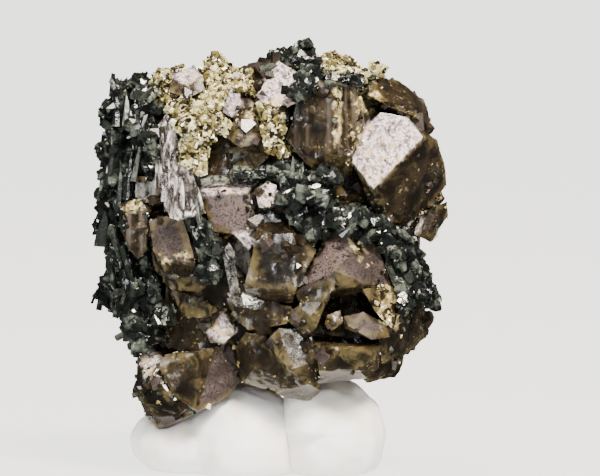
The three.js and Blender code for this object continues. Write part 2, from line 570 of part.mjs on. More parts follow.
const druseLeft = crust([
  crystal([
    [-11.0, 34.6, 5.2], [-10.6, 33.2, 6.4], [-8.6, 36.2, 4.2], [-6.8, 36.6, 3.6], [-4.6, 36.8, 4.4],
    [-1.9, 36.4, 6.4], [-2.0, 34.6, 8.2], [-4.8, 34.0, 8.6], [-8.6, 32.4, 8.4],
  ], 3, 0.95),
  crystal([
    [-9.6, 33.4, 7.6], [-4.6, 34.4, 8.6], [-4.2, 31.2, 9.6], [-6.2, 30.4, 9.6], [-8.4, 30.8, 9.2],
  ], 3, 0.95),
  crystal([
    [-8.2, 31.2, 9.0], [-5.6, 31.6, 9.4], [-6.2, 27.2, 10.2], [-7.8, 27.4, 10.2], [-8.2, 29.0, 9.8],
  ], 3, 0.95),
], DRUSE_GRAINS.left, 2.0);
const druseStreak = crust([
  crystal([
    [-1.2, 33.4, 9.6], [1.0, 33.2, 10.2], [1.0, 30.8, 10.4], [0.7, 28.8, 10.6], [-0.4, 29.4, 10.4],
    [-1.0, 31.4, 10.0],
  ], 3, 0.95),
], DRUSE_GRAINS.streak, 1.7);
const druseCap = crust([
  crystal([
    [4.6, 38.0, 2.8], [5.6, 38.2, 2.0], [8.4, 36.5, 2.6], [8.6, 35.8, 6.0], [6.6, 36.2, 7.6],
    [4.9, 36.7, 6.6],
  ], 3, 0.95),
  crystal([[8.2, 36.5, 4.6], [9.5, 36.2, 5.2], [9.3, 35.1, 7.2], [8.4, 35.4, 6.8]], 3, 0.95),
], DRUSE_GRAINS.cap, 1.9);

// The putty: soft lobes pressed together, flat where they lie on the table.
function lobe([x, height, forward], [width, depth, rise], turn = 0) {
  const geometry = new THREE.SphereGeometry(1, 12, 7);
  geometry.scale(width, depth, rise).rotateY(turn * DEG);
  geometry.translate(x, -forward, height);
  return toManifold(geometry);
}

function puttyLump() {
  const aboveTable = new THREE.BoxGeometry(60, 60, 20);
  aboveTable.translate(0, 0, 10);
  return [
    lobe([-8.7, 2.6, 1.8], [4.1, 4.4, 2.8], 10),
    lobe([-2.6, 2.6, 1.8], [5.5, 6.2, 5.2]),
    lobe([5.2, 3.4, 1.8], [4.9, 6.4, 5.2]),
  ]
    .reduce((whole, part) => whole.add(part))
    .intersect(toManifold(aboveTable));
}

// Each mineral gives way to those before it, and the putty to all of them.
const placed = [];
const specimen = new THREE.Group();

function place(name, solid, finish, members = []) {
  const left = placed.reduce((rest, grownSolid) => rest.subtract(grownSolid), solid);
  specimen.add(node(name, mainBody(left), finish));
  if (members.length) placed.push(join(members.map(grown)));
}

place("garnet_cluster", join(garnets), finishes.garnet, garnets);
place("pale_prism", join(palePrism), finishes.clear, palePrism);
place("clear_prism", join(clearPrism), finishes.clear, clearPrism);
place("green_flank", join(greenFlank), finishes.green, greenFlank);
place("green_band", join(greenBand), finishes.green, greenBand);
place("green_seam", join(greenSeam), finishes.green, greenSeam);
place("green_crown", join(greenCrown), finishes.green, greenCrown);
place("druse_left", join(druseLeft), finishes.druse, druseLeft);
place("druse_streak", join(druseStreak), finishes.druse, druseStreak);
place("druse_cap", join(druseCap), finishes.druse, druseCap);
place("putty_mount", puttyLump(), finishes.putty);

export default specimen;
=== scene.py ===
# %% [markdown]
# A garnet specimen: brown andradite crystals grown together, dark green blades down one side and in
# a band over the front, a cream druse, two pale prisms, and the white putty that holds it up.
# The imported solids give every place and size. Each one is copied, and the copy gets the grown faces,
# the small crystals and the finish, so that the looks can't drift away from the solids.

import math

import bpy
import numpy as np
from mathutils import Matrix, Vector, noise


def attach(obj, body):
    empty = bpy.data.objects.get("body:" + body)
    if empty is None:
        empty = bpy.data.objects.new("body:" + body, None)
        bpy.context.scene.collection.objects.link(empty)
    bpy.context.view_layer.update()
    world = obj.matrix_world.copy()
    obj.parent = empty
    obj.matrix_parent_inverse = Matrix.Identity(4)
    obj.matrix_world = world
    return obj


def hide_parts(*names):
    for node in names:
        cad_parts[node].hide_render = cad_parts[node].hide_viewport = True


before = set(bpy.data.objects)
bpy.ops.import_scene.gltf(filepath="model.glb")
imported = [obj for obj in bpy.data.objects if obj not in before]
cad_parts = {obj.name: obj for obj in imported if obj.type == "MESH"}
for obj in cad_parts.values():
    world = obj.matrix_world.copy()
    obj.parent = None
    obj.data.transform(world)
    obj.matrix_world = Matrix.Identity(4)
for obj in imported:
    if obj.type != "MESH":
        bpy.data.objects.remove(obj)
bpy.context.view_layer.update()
MM = 0.001
VIEW_DOWN = math.radians(4)
VIEW_SLOPE = math.tan(VIEW_DOWN)

# %% [markdown]
# Places on the front of the specimen are easiest to name as the viewer sees them: how far to the
# right, and how high above the table, both in millimetres. The view looks down by 4 degrees, so a
# point further back is seen a little higher than it is. These helpers turn mesh points into that view.
# They read and write all the points of a mesh in one go, which is far quicker than one by one.

# %% Points of a mesh
def points_of(thing):
    found = np.empty(len(thing.data.vertices) * 3, dtype=np.float32)
    thing.data.vertices.foreach_get("co", found)
    return found.reshape(-1, 3).astype(float)


def outward_of(thing):
    found = np.empty(len(thing.data.vertices) * 3, dtype=np.float32)
    thing.data.vertex_normals.foreach_get("vector", found)
    return found.reshape(-1, 3).astype(float)


def move_points(thing, points):
    thing.data.vertices.foreach_set("co", points.astype(np.float32).ravel())
    thing.data.update()


def as_seen(points):
    return points[:, 0] / MM, (points[:, 2] + points[:, 1] * VIEW_SLOPE) / MM


def keep_number(thing, name, values):
    layer = thing.data.attributes.new(name, "FLOAT", "POINT")
    layer.data.foreach_set("value", np.asarray(values, dtype=np.float32))


print("the solid of the garnets has", len(points_of(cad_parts["garnet_cluster"])), "loose points")

# %% [markdown]
# A copy of a solid starts as loose triangles, so its doubles are merged first. Then a sharp remesh
# gives even small faces and keeps the crystal edges crisp, which a voxel remesh would round off.
# The remesh counts in halvings of a cube: with a depth of 8 there are 256 cells along it, and the scale
# says how much of the cube the shape fills. The depth goes down until that scale is one it takes.

# %% Copy a solid and give it even faces
MERGED_WITHIN = 0.002 * MM
DEEPEST, LEAST_FILLED, MOST_FILLED = 8, 0.45, 0.95


def only(thing):
    bpy.ops.object.select_all(action="DESELECT")
    thing.select_set(True)
    bpy.context.view_layer.objects.active = thing


def finish_modifier(thing, kind, **settings):
    only(thing)
    modifier = thing.modifiers.new(kind.lower(), kind)
    for name, value in settings.items():
        setattr(modifier, name, value)
    bpy.ops.object.modifier_apply(modifier=modifier.name)


def copy_of_solid(node, name):
    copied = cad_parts[node].copy()
    copied.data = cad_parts[node].data.copy()
    copied.name = copied.data.name = name
    bpy.context.collection.objects.link(copied)
    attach(copied, "root")
    copied.data.materials.clear()
    only(copied)
    bpy.ops.object.mode_set(mode="EDIT")
    bpy.ops.mesh.select_all(action="SELECT")
    bpy.ops.mesh.remove_doubles(threshold=MERGED_WITHIN)
    bpy.ops.object.mode_set(mode="OBJECT")
    return copied


def even_faces(thing, face_size):
    depth = DEEPEST
    scale = max(thing.dimensions) / (face_size * 2**depth)
    while scale < LEAST_FILLED:
        depth -= 1
        scale *= 2
    finish_modifier(thing, "REMESH", mode="SHARP", octree_depth=depth, scale=min(scale, MOST_FILLED),
                    sharpness=1, use_remove_disconnected=False)
    print(thing.name, "has", len(thing.data.polygons), "even faces of", round(face_size / MM, 2), "mm")

# %% [markdown]
# Natural crystal faces are never quite flat. They grow in thin sheets, so a face has low terraces,
# and they are etched and pitted. The height of a terrace is a slow pattern cut into steps, and a finer
# pattern on top gives the uneven surface. Each pattern is sized in millimetres, and its shift starts it
# at another place, so that no two patterns fall together. It is real relief and not a bump in the
# finish, because it has to break up the outline too.

# %% Growth steps and unevenness
TERRACE_WIDTH, LEDGE_WIDTH, FINE_WIDTH, PIT_WIDTH = 2.6, 0.9, 0.45, 0.8
TERRACE_LEVELS = 5


def pattern(points, size, shift=0.0):
    scaled = points / (size * MM) + shift
    return np.array([noise.noise(Vector(p)) for p in scaled])


def grown_surface(thing, step, rough, pit, shift):
    """Moves the points in and out. The three heights are in millimetres."""
    points, outward = points_of(thing), outward_of(thing)
    slow = pattern(points, TERRACE_WIDTH, shift) + 0.4 * pattern(points, LEDGE_WIDTH, shift + 7)
    terraces = np.floor(slow * TERRACE_LEVELS) / TERRACE_LEVELS + 0.12 * slow
    fine = pattern(points, FINE_WIDTH, shift + 13)
    pits = np.clip(pattern(points, PIT_WIDTH, shift + 21) - 0.28, 0, 1)
    height = step * terraces + rough * fine - pit * pits
    move_points(thing, points + outward * (height * MM)[:, None])


def ridges_of(thing, widening=3):
    """How far each point stands out of its neighbours: above 0 on an edge, below 0 in a crease.
    Each round of widening mixes in what the neighbours have."""
    points, outward = points_of(thing), outward_of(thing)
    ends = np.empty(len(thing.data.edges) * 2, dtype=np.int32)
    thing.data.edges.foreach_get("vertices", ends)
    ends = ends.reshape(-1, 2)
    total, count = np.zeros_like(points), np.zeros(len(points))
    for a, b in ((0, 1), (1, 0)):
        np.add.at(total, ends[:, a], points[ends[:, b]])
        np.add.at(count, ends[:, a], 1)
    middle = total / np.maximum(count, 1)[:, None]
    standing = ((points - middle) * outward).sum(axis=1) / MM
    for _ in range(widening):
        spread = np.zeros(len(points))
        for a, b in ((0, 1), (1, 0)):
            np.add.at(spread, ends[:, a], standing[ends[:, b]])
        standing = 0.4 * standing + 0.6 * spread / np.maximum(count, 1)
    return standing

# %% [markdown]
# The garnets carry patches that belong to single faces: sugary white-pink ones, which are partly a painted
# highlight, purple-grey ones, whose colour is partly a painted sheen, rosy ones, golden rims, cream stains,
# painted shade in the hollows, and striated faces with a painted highlight on their ribs. Each patch is a
# short list of corners as seen from the front, and a point of the mesh belongs to it if it lies inside and
# its surface faces the viewer. Cutting the patches into the mesh would give them hard edges, so each point
# gets a number.

# %% Patches on the garnet faces
PATCHES = {
    # the sugary patches are a coating of tiny pale crystals and partly a painted highlight where faces catch
    # the light
    "sugar_and_highlight": [
        [(9.8, 32.7), (12.2, 32.3), (13.6, 30.5), (9.1, 25.8), (7.2, 28.2), (8.2, 31.2)],
        [(0.5, 37.5), (3.1, 35.9), (2.2, 33.6), (0.1, 32.4), (-1.5, 34.3)],
        [(-4.0, 34.5), (-2.9, 34.5), (-2.7, 33.2), (-3.6, 32.2), (-4.5, 32.8)],
        [(-6.6, 25.3), (-2.4, 25.2), (-1.2, 26.7), (-5.6, 26.9)],
        [(-1.5, 25.1), (-1.2, 24.1), (-0.4, 24.0), (0.3, 24.5), (0.4, 26.2), (-0.4, 26.6)],
        [(-3.6, 21.9), (-1.2, 22.1), (-1.7, 21.0), (-2.1, 20.2)],
        [(-6.0, 12.8), (-5.1, 13.4), (-4.6, 14.7), (-4.1, 14.1), (-3.2, 12.8), (-4.4, 11.8)],
        [(-12.1, 10.3), (-11.3, 11.4), (-10.0, 10.5), (-10.9, 9.2), (-11.5, 8.3)],
        [(-9.2, 36.3), (-7.2, 37.1), (-6.3, 36.0), (-7.8, 35.2)],
        [(12.2, 23.0), (13.6, 23.0), (13.4, 21.8), (12.3, 21.8)],
    ],
    # the purple-grey patches are satin faces whose colour is partly a painted sheen
    "satin_sheen_faces": [
        [(-11.2, 22.9), (-9.6, 23.3), (-8.0, 23.0), (-6.9, 19.1), (-10.0, 19.3), (-10.8, 20.2)],
        [(5.6, 22.0), (2.1, 16.0), (5.8, 18.3), (8.3, 17.2), (10.7, 17.0), (9.5, 20.6), (8.6, 21.5)],
        [(-4.9, 11.5), (-4.3, 10.9), (-3.0, 8.3), (-3.9, 6.8), (-6.7, 5.9), (-6.0, 8.6)],
        [(6.4, 14.3), (8.2, 14.7), (10.2, 13.6), (9.0, 12.2), (6.9, 13.4)],
    ],
    "rosy": [
        [(-5.9, 25.3), (-2.1, 25.0), (-1.3, 22.2), (-5.3, 22.0)],
        [(4.9, 21.0), (3.0, 17.2), (5.6, 18.2), (7.2, 20.2), (6.2, 21.6)],
    ],
    "golden": [
        [(-3.3, 33.0), (-1.6, 32.6), (-0.8, 31.0), (-1.2, 30.0), (-2.9, 29.5), (-4.0, 30.4)],
        [(-3.9, 29.6), (-0.6, 30.0), (-0.3, 28.6), (-1.6, 27.6), (-3.8, 27.4), (-4.4, 28.6)],
        [(4.0, 28.3), (7.4, 29.4), (7.5, 28.1), (6.5, 27.1), (4.0, 27.2)],
        [(1.5, 14.6), (2.3, 15.4), (5.4, 16.8), (4.4, 15.5), (3.4, 14.3), (3.9, 13.2), (1.4, 13.8)],
        [(8.2, 16.7), (10.8, 17.1), (11.7, 14.6), (11.2, 12.8), (9.3, 14.6)],
        [(-0.9, 12.4), (0.6, 12.4), (2.3, 9.6), (1.4, 8.6), (0.0, 10.4)],
        [(-9.9, 18.4), (-6.6, 18.4), (-5.9, 17.2), (-9.0, 16.7)],
        [(-9.0, 16.6), (-6.3, 15.9), (-4.9, 14.8), (-6.2, 14.0), (-8.2, 14.3)],
        [(-12.5, 27.0), (-10.8, 27.0), (-10.0, 25.6), (-12.4, 24.6)],
        [(-8.9, 11.0), (-6.8, 10.8), (-6.9, 9.9), (-9.2, 10.0)],
        [(-1.4, 22.0), (-0.5, 21.8), (-1.5, 17.2), (-2.6, 16.9)],
        [(3.6, 12.4), (5.2, 12.2), (8.8, 10.6), (8.0, 9.4), (4.4, 11.0)],
    ],
    "cream": [
        [(7.0, 34.6), (9.8, 34.6), (9.8, 32.9), (7.4, 32.4)],
        [(6.8, 31.6), (8.4, 31.3), (8.0, 28.2), (6.8, 28.0)],
        [(5.0, 24.2), (7.2, 24.2), (7.0, 22.1), (5.2, 22.2)],
        [(10.4, 18.6), (13.2, 18.6), (13.0, 17.3), (10.6, 17.4)],
        [(9.2, 17.1), (11.7, 17.0), (11.4, 13.0), (9.6, 13.8)],
        [(6.5, 21.6), (8.0, 21.0), (9.2, 19.2), (8.5, 18.4), (7.3, 20.2)],
        [(-13.8, 24.4), (-12.0, 24.9), (-11.3, 24.0), (-12.0, 23.6), (-13.4, 23.8)],
        [(-7.6, 20.2), (-6.9, 19.1), (-10.0, 18.9), (-10.2, 19.4)],
        [(-1.5, 34.4), (0.1, 32.5), (-0.4, 31.2), (-2.6, 32.4)],
        # this thin strip along the ridge of the striated crystal is a cream line and partly a painted
        # highlight on the ridge
        [(5.5, 35.4), (6.2, 35.4), (6.2, 29.4), (5.6, 29.4)],
        [(3.0, 37.8), (10.0, 36.6), (9.8, 35.4), (5.0, 36.4)],
    ],
    "striated": [
        [(1.2, 30.3), (2.3, 34.1), (4.1, 35.5), (5.8, 35.6), (7.7, 34.8), (8.9, 32.2), (7.4, 29.4),
         (5.9, 29.2), (2.9, 28.2)],
        [(-12.0, 24.9), (-11.3, 24.0), (-11.3, 20.2), (-12.2, 19.4), (-13.9, 22.4), (-13.8, 24.4)],
    ],
    # in front these patches are painted shade in the hollows and under the band
    "dark_patch_and_shade": [
        [(-2.3, 25.0), (1.5, 25.3), (1.5, 22.8), (-1.3, 22.7)],
        [(4.2, 15.6), (5.4, 16.4), (8.8, 16.3), (8.8, 14.6), (6.4, 14.2), (4.6, 12.0)],
        [(-6.4, 30.9), (-4.9, 30.9), (-4.8, 29.3), (-6.4, 29.3)],
        [(-14.5, 18.0), (-10.2, 18.0), (-10.0, 12.6), (-13.8, 12.6)],
        [(-6.0, 17.0), (-3.0, 15.0), (-3.4, 11.6), (-5.0, 15.2)],
    ],
}
FAR = 9.0  # in millimetres, further from a patch than any point needs to tell


def inside_patches(x, z, patches, soft=0.18):
    """1 well inside one of the patches, 0 outside, with a soft edge of the given width in millimetres."""
    best = np.full(len(x), -FAR)
    for corners in patches:
        inside = np.zeros(len(x), dtype=bool)
        nearest = np.full(len(x), FAR)
        for (ax, az), (bx, bz) in zip(corners, corners[1:] + corners[:1]):
            dx, dz = bx - ax, bz - az
            along = np.clip(((x - ax) * dx + (z - az) * dz) / (dx * dx + dz * dz), 0, 1)
            nearest = np.minimum(nearest, np.hypot(x - ax - along * dx, z - az - along * dz))
            crosses = (az > z) != (bz > z)
            slope = dx / dz if abs(dz) > 1e-9 else 0.0
            inside ^= crosses & (x < ax + (z - az) * slope)
        best = np.maximum(best, np.where(inside, nearest, -nearest))
    return np.clip(0.5 + best / (2 * soft), 0, 1)


print({name: len(patches) for name, patches in PATCHES.items()})

# %% [markdown]
# The garnet cluster is the body of the specimen, one solid of crystals grown into each other. Its copy
# gets even faces and the growth steps. Two of its crystals are striated: they have fine ribs along their
# height, made by a pattern that is stretched that way. Smooth shading up to a small angle keeps each
# crystal face glassy and each crystal edge sharp.

# %% Garnet cluster
GARNET_FACE = 0.28 * MM
RIB_HEIGHT, RIB_WIDTH, RIB_STRETCH = 0.30, 0.6, (1, 1, 0.04)
garnets = copy_of_solid("garnet_cluster", "garnet_crystals")
even_faces(garnets, GARNET_FACE)
garnet_ridges = ridges_of(garnets)
garnet_rims = ridges_of(garnets, widening=9)
garnet_outward = outward_of(garnets)
grown_surface(garnets, step=0.12, rough=0.03, pit=0.30, shift=3.0)
garnet_points = points_of(garnets)
seen_x, seen_z = as_seen(garnet_points)
in_front = garnet_points[:, 1] < -5 * MM
striae = inside_patches(seen_x, seen_z, PATCHES["striated"]) * in_front
ribs = RIB_HEIGHT * pattern(garnet_points * RIB_STRETCH, RIB_WIDTH, 27)
garnet_points = garnet_points + garnet_outward * (striae * ribs * MM)[:, None]
move_points(garnets, garnet_points)
only(garnets)
bpy.ops.object.shade_smooth_by_angle(angle=math.radians(24))
print("rims of the garnets stand out by, in mm", np.percentile(garnet_rims, [1, 50, 99]).round(3))

# %% [markdown]
# Now each point of the cluster gets one number for each kind of patch. In front it comes from the
# corners above, and a small sway makes their outlines uneven. The other sides have no named patches, but
# all sides of such a cluster look alike. So there the crystal faces that look in a few given directions
# are sugary or purple-grey as a whole, which gives the sugary ones a painted highlight and the purple-grey
# ones a painted sheen, and the other kinds come and go with a slow pattern.

# %% Patches on all sides
OUTLINE_SWAY = 0.25
LOOKS_ALONG = 0.90
# faces that look along these get the sugary coating and a painted highlight as a whole
SUGAR_AND_HIGHLIGHT_SIDES = [(0.7, 0.3, 0.6), (-0.3, 0.8, 0.5), (-0.8, 0.4, 0.4), (0.1, 0.3, 0.95)]
# faces that look along these get the satin and a painted sheen as a whole
SATIN_SHEEN_SIDES = [(0.5, 0.8, -0.1), (-0.5, 0.85, 0.0), (0.3, 0.9, 0.1), (0.95, 0.2, -0.2), (0.8, 0.5, 0.4),
                (-0.2, 0.6, 0.8)]
PATCH_KINDS = [  # the kind, its width in millimetres, how rare it is behind, and the faces it covers there
    ("sugar_and_highlight", 3.4, 0.16, SUGAR_AND_HIGHLIGHT_SIDES), ("satin_sheen_faces", 3.8, 0.0, SATIN_SHEEN_SIDES), ("golden", 2.6, 0.2, None),
    ("cream", 1.7, 0.3, None), ("dark_patch_and_shade", 4.0, 0.3, None), ("rosy", 3.2, 0.25, None),
]
seen_x = seen_x + OUTLINE_SWAY * pattern(garnet_points, 0.6, 31)
seen_z = seen_z + OUTLINE_SWAY * pattern(garnet_points, 0.6, 37)
front = np.clip((-garnet_outward[:, 1] + 0.15) * 3, 0, 1) * (garnet_points[:, 1] < -1.5 * MM)
elsewhere = 1 - np.clip((-garnet_points[:, 1] / MM - 1.5) / 2, 0, 1)


def whole_faces(sides):
    """1 on the crystal faces that look nearly along one of the given directions."""
    found = np.zeros(len(garnet_outward))
    for side in sides:
        along = garnet_outward @ (np.array(side) / np.linalg.norm(side))
        found = np.maximum(found, np.clip((along - LOOKS_ALONG) * 25, 0, 1))
    return found


patch_numbers = {}
for number, (kind, size, rare, sides) in enumerate(PATCH_KINDS):
    named = front * inside_patches(seen_x, seen_z, PATCHES[kind])
    slow = pattern(garnet_points, size, 40 + 5 * number)
    if sides:
        unnamed = whole_faces(sides) * elsewhere * (slow > rare)
    else:
        unnamed = elsewhere * np.clip((slow - rare) * 8, 0, 1)
    patch_numbers[kind] = np.maximum(named, unnamed).astype(np.float32)
    keep_number(garnets, kind, patch_numbers[kind])
# edge: olive gold along the crystal rims, a painted glow of the light let through the thin edges
keep_number(garnets, "edge", np.clip(garnet_rims * 55 - 0.1, 0, 1) * (1 - 0.8 * striae))
# lighter colour on the raised ribs of the striated faces: a painted highlight on the rib crests
keep_number(garnets, "rib_highlight", striae * np.clip(ribs * 6, 0, 1))
print("share of each patch", {kind: round(float(n.mean()), 3) for kind, n in patch_numbers.items()})

# %% [markdown]
# The druse, the dust and the green blades are the same small shapes thousands of times over. One block
# grain and one blade are modelled from a primitive, with few faces, and then set on a surface at
# seeded random places, each with its own size and turn. Particles would do the same, but the finished
# mesh has to hold them. So all the copies on one mineral are joined in one piece.

# %% The block grain and the blade
def small_shape(name, adding, cuts):
    """Adds a primitive and cuts its corners off. Each cut is a place on its plane and the way it faces."""
    bpy.ops.object.select_all(action="DESELECT")
    adding()
    made = bpy.context.active_object
    made.name = name
    bpy.ops.object.mode_set(mode="EDIT")
    for place, facing in cuts:
        bpy.ops.mesh.select_all(action="SELECT")
        bpy.ops.mesh.bisect(plane_co=place, plane_no=facing, use_fill=True, clear_outer=True)
    bpy.ops.mesh.select_all(action="SELECT")
    bpy.ops.mesh.quads_convert_to_tris()
    bpy.ops.mesh.normals_make_consistent(inside=False)
    bpy.ops.object.mode_set(mode="OBJECT")
    shape = points_of(made), np.array([list(face.vertices) for face in made.data.polygons])
    bpy.data.objects.remove(made)
    print(name, len(shape[0]), "points", len(shape[1]), "faces")
    return shape


block_grain = small_shape(
    "block_grain",
    lambda: bpy.ops.mesh.primitive_cube_add(size=1),
    [((0.32, 0.32, 0.32), (1, 1, 1)), ((-0.32, 0.32, 0.2), (-1, 1, 0.5)), ((0.3, -0.3, -0.3), (1, -1, -1))],
)
blade_shape = small_shape(
    "blade",
    lambda: bpy.ops.mesh.primitive_cylinder_add(vertices=6, radius=0.5, depth=1, location=(0, 0, 0.5)),
    [((0, 0, 0.8), (0.7, 0.2, 0.5)), ((0, 0, 0.92), (-0.6, -0.1, 0.8))],
)

# %% [markdown]
# Setting shapes on a surface: places are drawn by area, kept where the wanted share says so, and each
# shape is turned to grow outwards, then leaned at random. A number called tone goes with each copy, so
# that one material can make some grains cream, some golden and some dark. Each growth has a seed of its
# own, so that a change in one leaves all the others where they are.

# %% Strew shapes over a surface
SEEDS = {"greens": 100, "rods": 120, "druses": 200, "dust": 300, "specks": 301, "small garnets": 302}
DRAWN_FOR_EACH = 12


def places_on(thing, count, wanted, random):
    data = thing.data
    data.calc_loop_triangles()
    corners = np.empty(len(data.loop_triangles) * 3, dtype=np.int32)
    data.loop_triangles.foreach_get("vertices", corners)
    a, b, c = (points_of(thing)[corners.reshape(-1, 3)[:, n]] for n in range(3))
    across = np.cross(b - a, c - a)
    area = np.linalg.norm(across, axis=1)
    outward = across / np.maximum(area, 1e-20)[:, None]
    face = random.choice(len(area), size=count * DRAWN_FOR_EACH, p=area / area.sum())
    r, s = random.random((2, len(face)))
    flip = r + s > 1
    r, s = np.where(flip, 1 - r, r), np.where(flip, 1 - s, s)
    places = a[face] + r[:, None] * (b - a)[face] + s[:, None] * (c - a)[face]
    keep = random.random(len(face)) < wanted(places, outward[face])
    return places[keep][:count], outward[face][keep][:count]


def above(height):
    return lambda places, outward: np.where(places[:, 2] > height * MM, 1.0, 0.0)


def patchy(share, contrast, size, shift, least):
    return lambda places, outward: np.clip(share + contrast * pattern(places, size, shift), least, 1)


def unit(directions):
    return directions / np.linalg.norm(directions, axis=1)[:, None]


def turned(outward, lean, random):
    """Turns that stand each shape on its surface, leaned at random by about the given angle in radians."""
    up = unit(outward + lean * random.normal(size=outward.shape))
    side = unit(np.cross(up, random.normal(size=outward.shape)))
    return np.stack([side, np.cross(up, side), up], axis=2)


def strewn(name, shape, places, turns, sizes, tones):
    points, faces = shape
    moved = np.einsum("nij,nkj->nki", turns, points[None] * sizes[:, None, :]) + places[:, None, :]
    count, each = len(places), len(points)
    all_faces = (faces[None] + each * np.arange(count)[:, None, None]).reshape(-1, 3)
    mesh = bpy.data.meshes.new(name)
    mesh.from_pydata(moved.reshape(-1, 3).tolist(), [], all_faces.tolist())
    made = bpy.data.objects.new(name, mesh)
    bpy.context.collection.objects.link(made)
    keep_number(made, "tone", np.repeat(tones, each))
    print(name, count, "copies", len(all_faces), "faces")
    return made


def piece(thing, slot, *nodes):
    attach(thing, "root")
    if nodes:
        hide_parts(*nodes)

# %% [markdown]
# The green mineral is black-green and glossy, and it grows as short blades and knobs. The solids give
# the masses. On top, small blades stand up the flank and lie along the band, and knobs sit between them.
# They are set close enough that the mass under them shows only in the gaps. The mass is smoothed first,
# because its own edges belong to no real crystal.

# %% Green masses
GREEN_FACE = 0.26 * MM
LOWEST_BLADE = 0.5
GREENS = {  # how many blades, the way they grow, how far they stray from it, how slender the longest are
    "green_flank": (7600, (0.12, 0.15, 1.0), 0.35, 4.2),
    "green_band": (2800, (0.9, -0.5, 0.1), 0.8, 1.1),
    "green_seam": (420, (0.3, -0.2, 0.9), 0.7, 1.6),
    "green_crown": (900, (0.7, -0.3, 0.5), 0.9, 1.1),
}


def green_mass(node, number):
    mass = copy_of_solid(node, node + "_mass")
    even_faces(mass, GREEN_FACE)
    finish_modifier(mass, "SMOOTH", factor=0.5, iterations=5)
    grown_surface(mass, step=0.08, rough=0.07, pit=0.3, shift=50.0 + number)
    only(mass)
    bpy.ops.object.shade_smooth()
    keep_number(mass, "tone", 0.5 + 0.5 * pattern(points_of(mass), 0.9, 60))
    return mass

# %% [markdown]
# A blade may stray from its way, but not into the mass: what points inwards is taken out of its
# direction. A power on a random number makes most blades small and a few large, as crystals are. The
# band is paler at its right end and along its upper edge, so its blades have a lighter tone there.

# %% Green blades and knobs
def grow_blades(node, mass, random):
    count, along, stray, slender = GREENS[node]
    places, outward = places_on(mass, count, above(LOWEST_BLADE), random)
    direction = np.array(along) + stray * random.normal(size=places.shape) + 0.3 * outward
    direction -= np.minimum((direction * outward).sum(axis=1), 0)[:, None] * outward
    turns = turned(unit(direction), 0.08, random)
    width = (0.16 + 0.40 * random.random(count) ** 3) * MM
    length = width * (0.9 + slender * random.random(count) ** 1.5)
    sizes = np.stack([width, width * (0.5 + 0.5 * random.random(count)), length], axis=1)
    x, z = as_seen(places)
    right_end = np.clip((x - 10.0) / 2, 0, 1)
    upper_edge = np.clip((z - 25.6) / 1.0, 0, 1) * np.clip((5.0 - x) / 2, 0, 1)
    paler = right_end + upper_edge
    tones = random.random(count) * (1 + 1.1 * paler * (node == "green_band"))
    return strewn(node + "_blades", blade_shape, places - outward * 0.1 * MM, turns, sizes, tones)


def grow_knobs(node, mass, random):
    places, outward = places_on(mass, GREENS[node][0] // 4, above(LOWEST_BLADE), random)
    width = (0.35 + 0.55 * random.random(len(places)) ** 2) * MM
    sizes = width[:, None] * (0.7 + 0.6 * random.random((len(places), 3)))
    turns = turned(outward, 0.8, random)
    return strewn(node + "_knobs", block_grain, places, turns, sizes, random.random(len(places)))


green_pieces = []
for number, node in enumerate(GREENS):
    random = np.random.default_rng(SEEDS["greens"] + number)
    mass = green_mass(node, number)
    grown = [mass, grow_blades(node, mass, random), grow_knobs(node, mass, random)]
    for green in grown:
        piece(green, "green_crystal", node)
    green_pieces += grown

# %% [markdown]
# On the outside of the flank the blades grow longer, into rods of one and a half to three and a half
# millimetres that stand nearly upright and side by side. They stray far less than the blades do, and
# start at a height of 14 mm, so that none of them sticks out below the flank.

# %% Rods on the flank
RODS, RODS_START = 170, 14
random = np.random.default_rng(SEEDS["rods"])
flank_mass = green_pieces[0]
places, outward = places_on(flank_mass, RODS, above(RODS_START), random)
direction = np.array((0.10, 0.12, 1.0)) + 0.16 * random.normal(size=places.shape)
width = (0.35 + 0.45 * random.random(len(places))) * MM
sizes = np.stack([width, 0.8 * width, (1.6 + 2.2 * random.random(len(places))) * MM], axis=1)
turns = turned(unit(direction), 0.03, random)
sunk = places - outward * (0.25 * width)[:, None]
rods = strewn("green_flank_rods", blade_shape, sunk, turns, sizes, 1.5 * random.random(len(places)))
piece(rods, "green_crystal", "green_flank")
green_pieces.append(rods)

# %% [markdown]
# Some blades are long enough to be told apart in the front view: rods up the flank, pale plates that
# lie along the top of the band, and the seam between the two purple-grey garnets. They are the same
# blade shape, but chance would not put them where the eye expects them. So each one is given by its
# foot, its tip (as seen, with how far forward), its width and its tone.

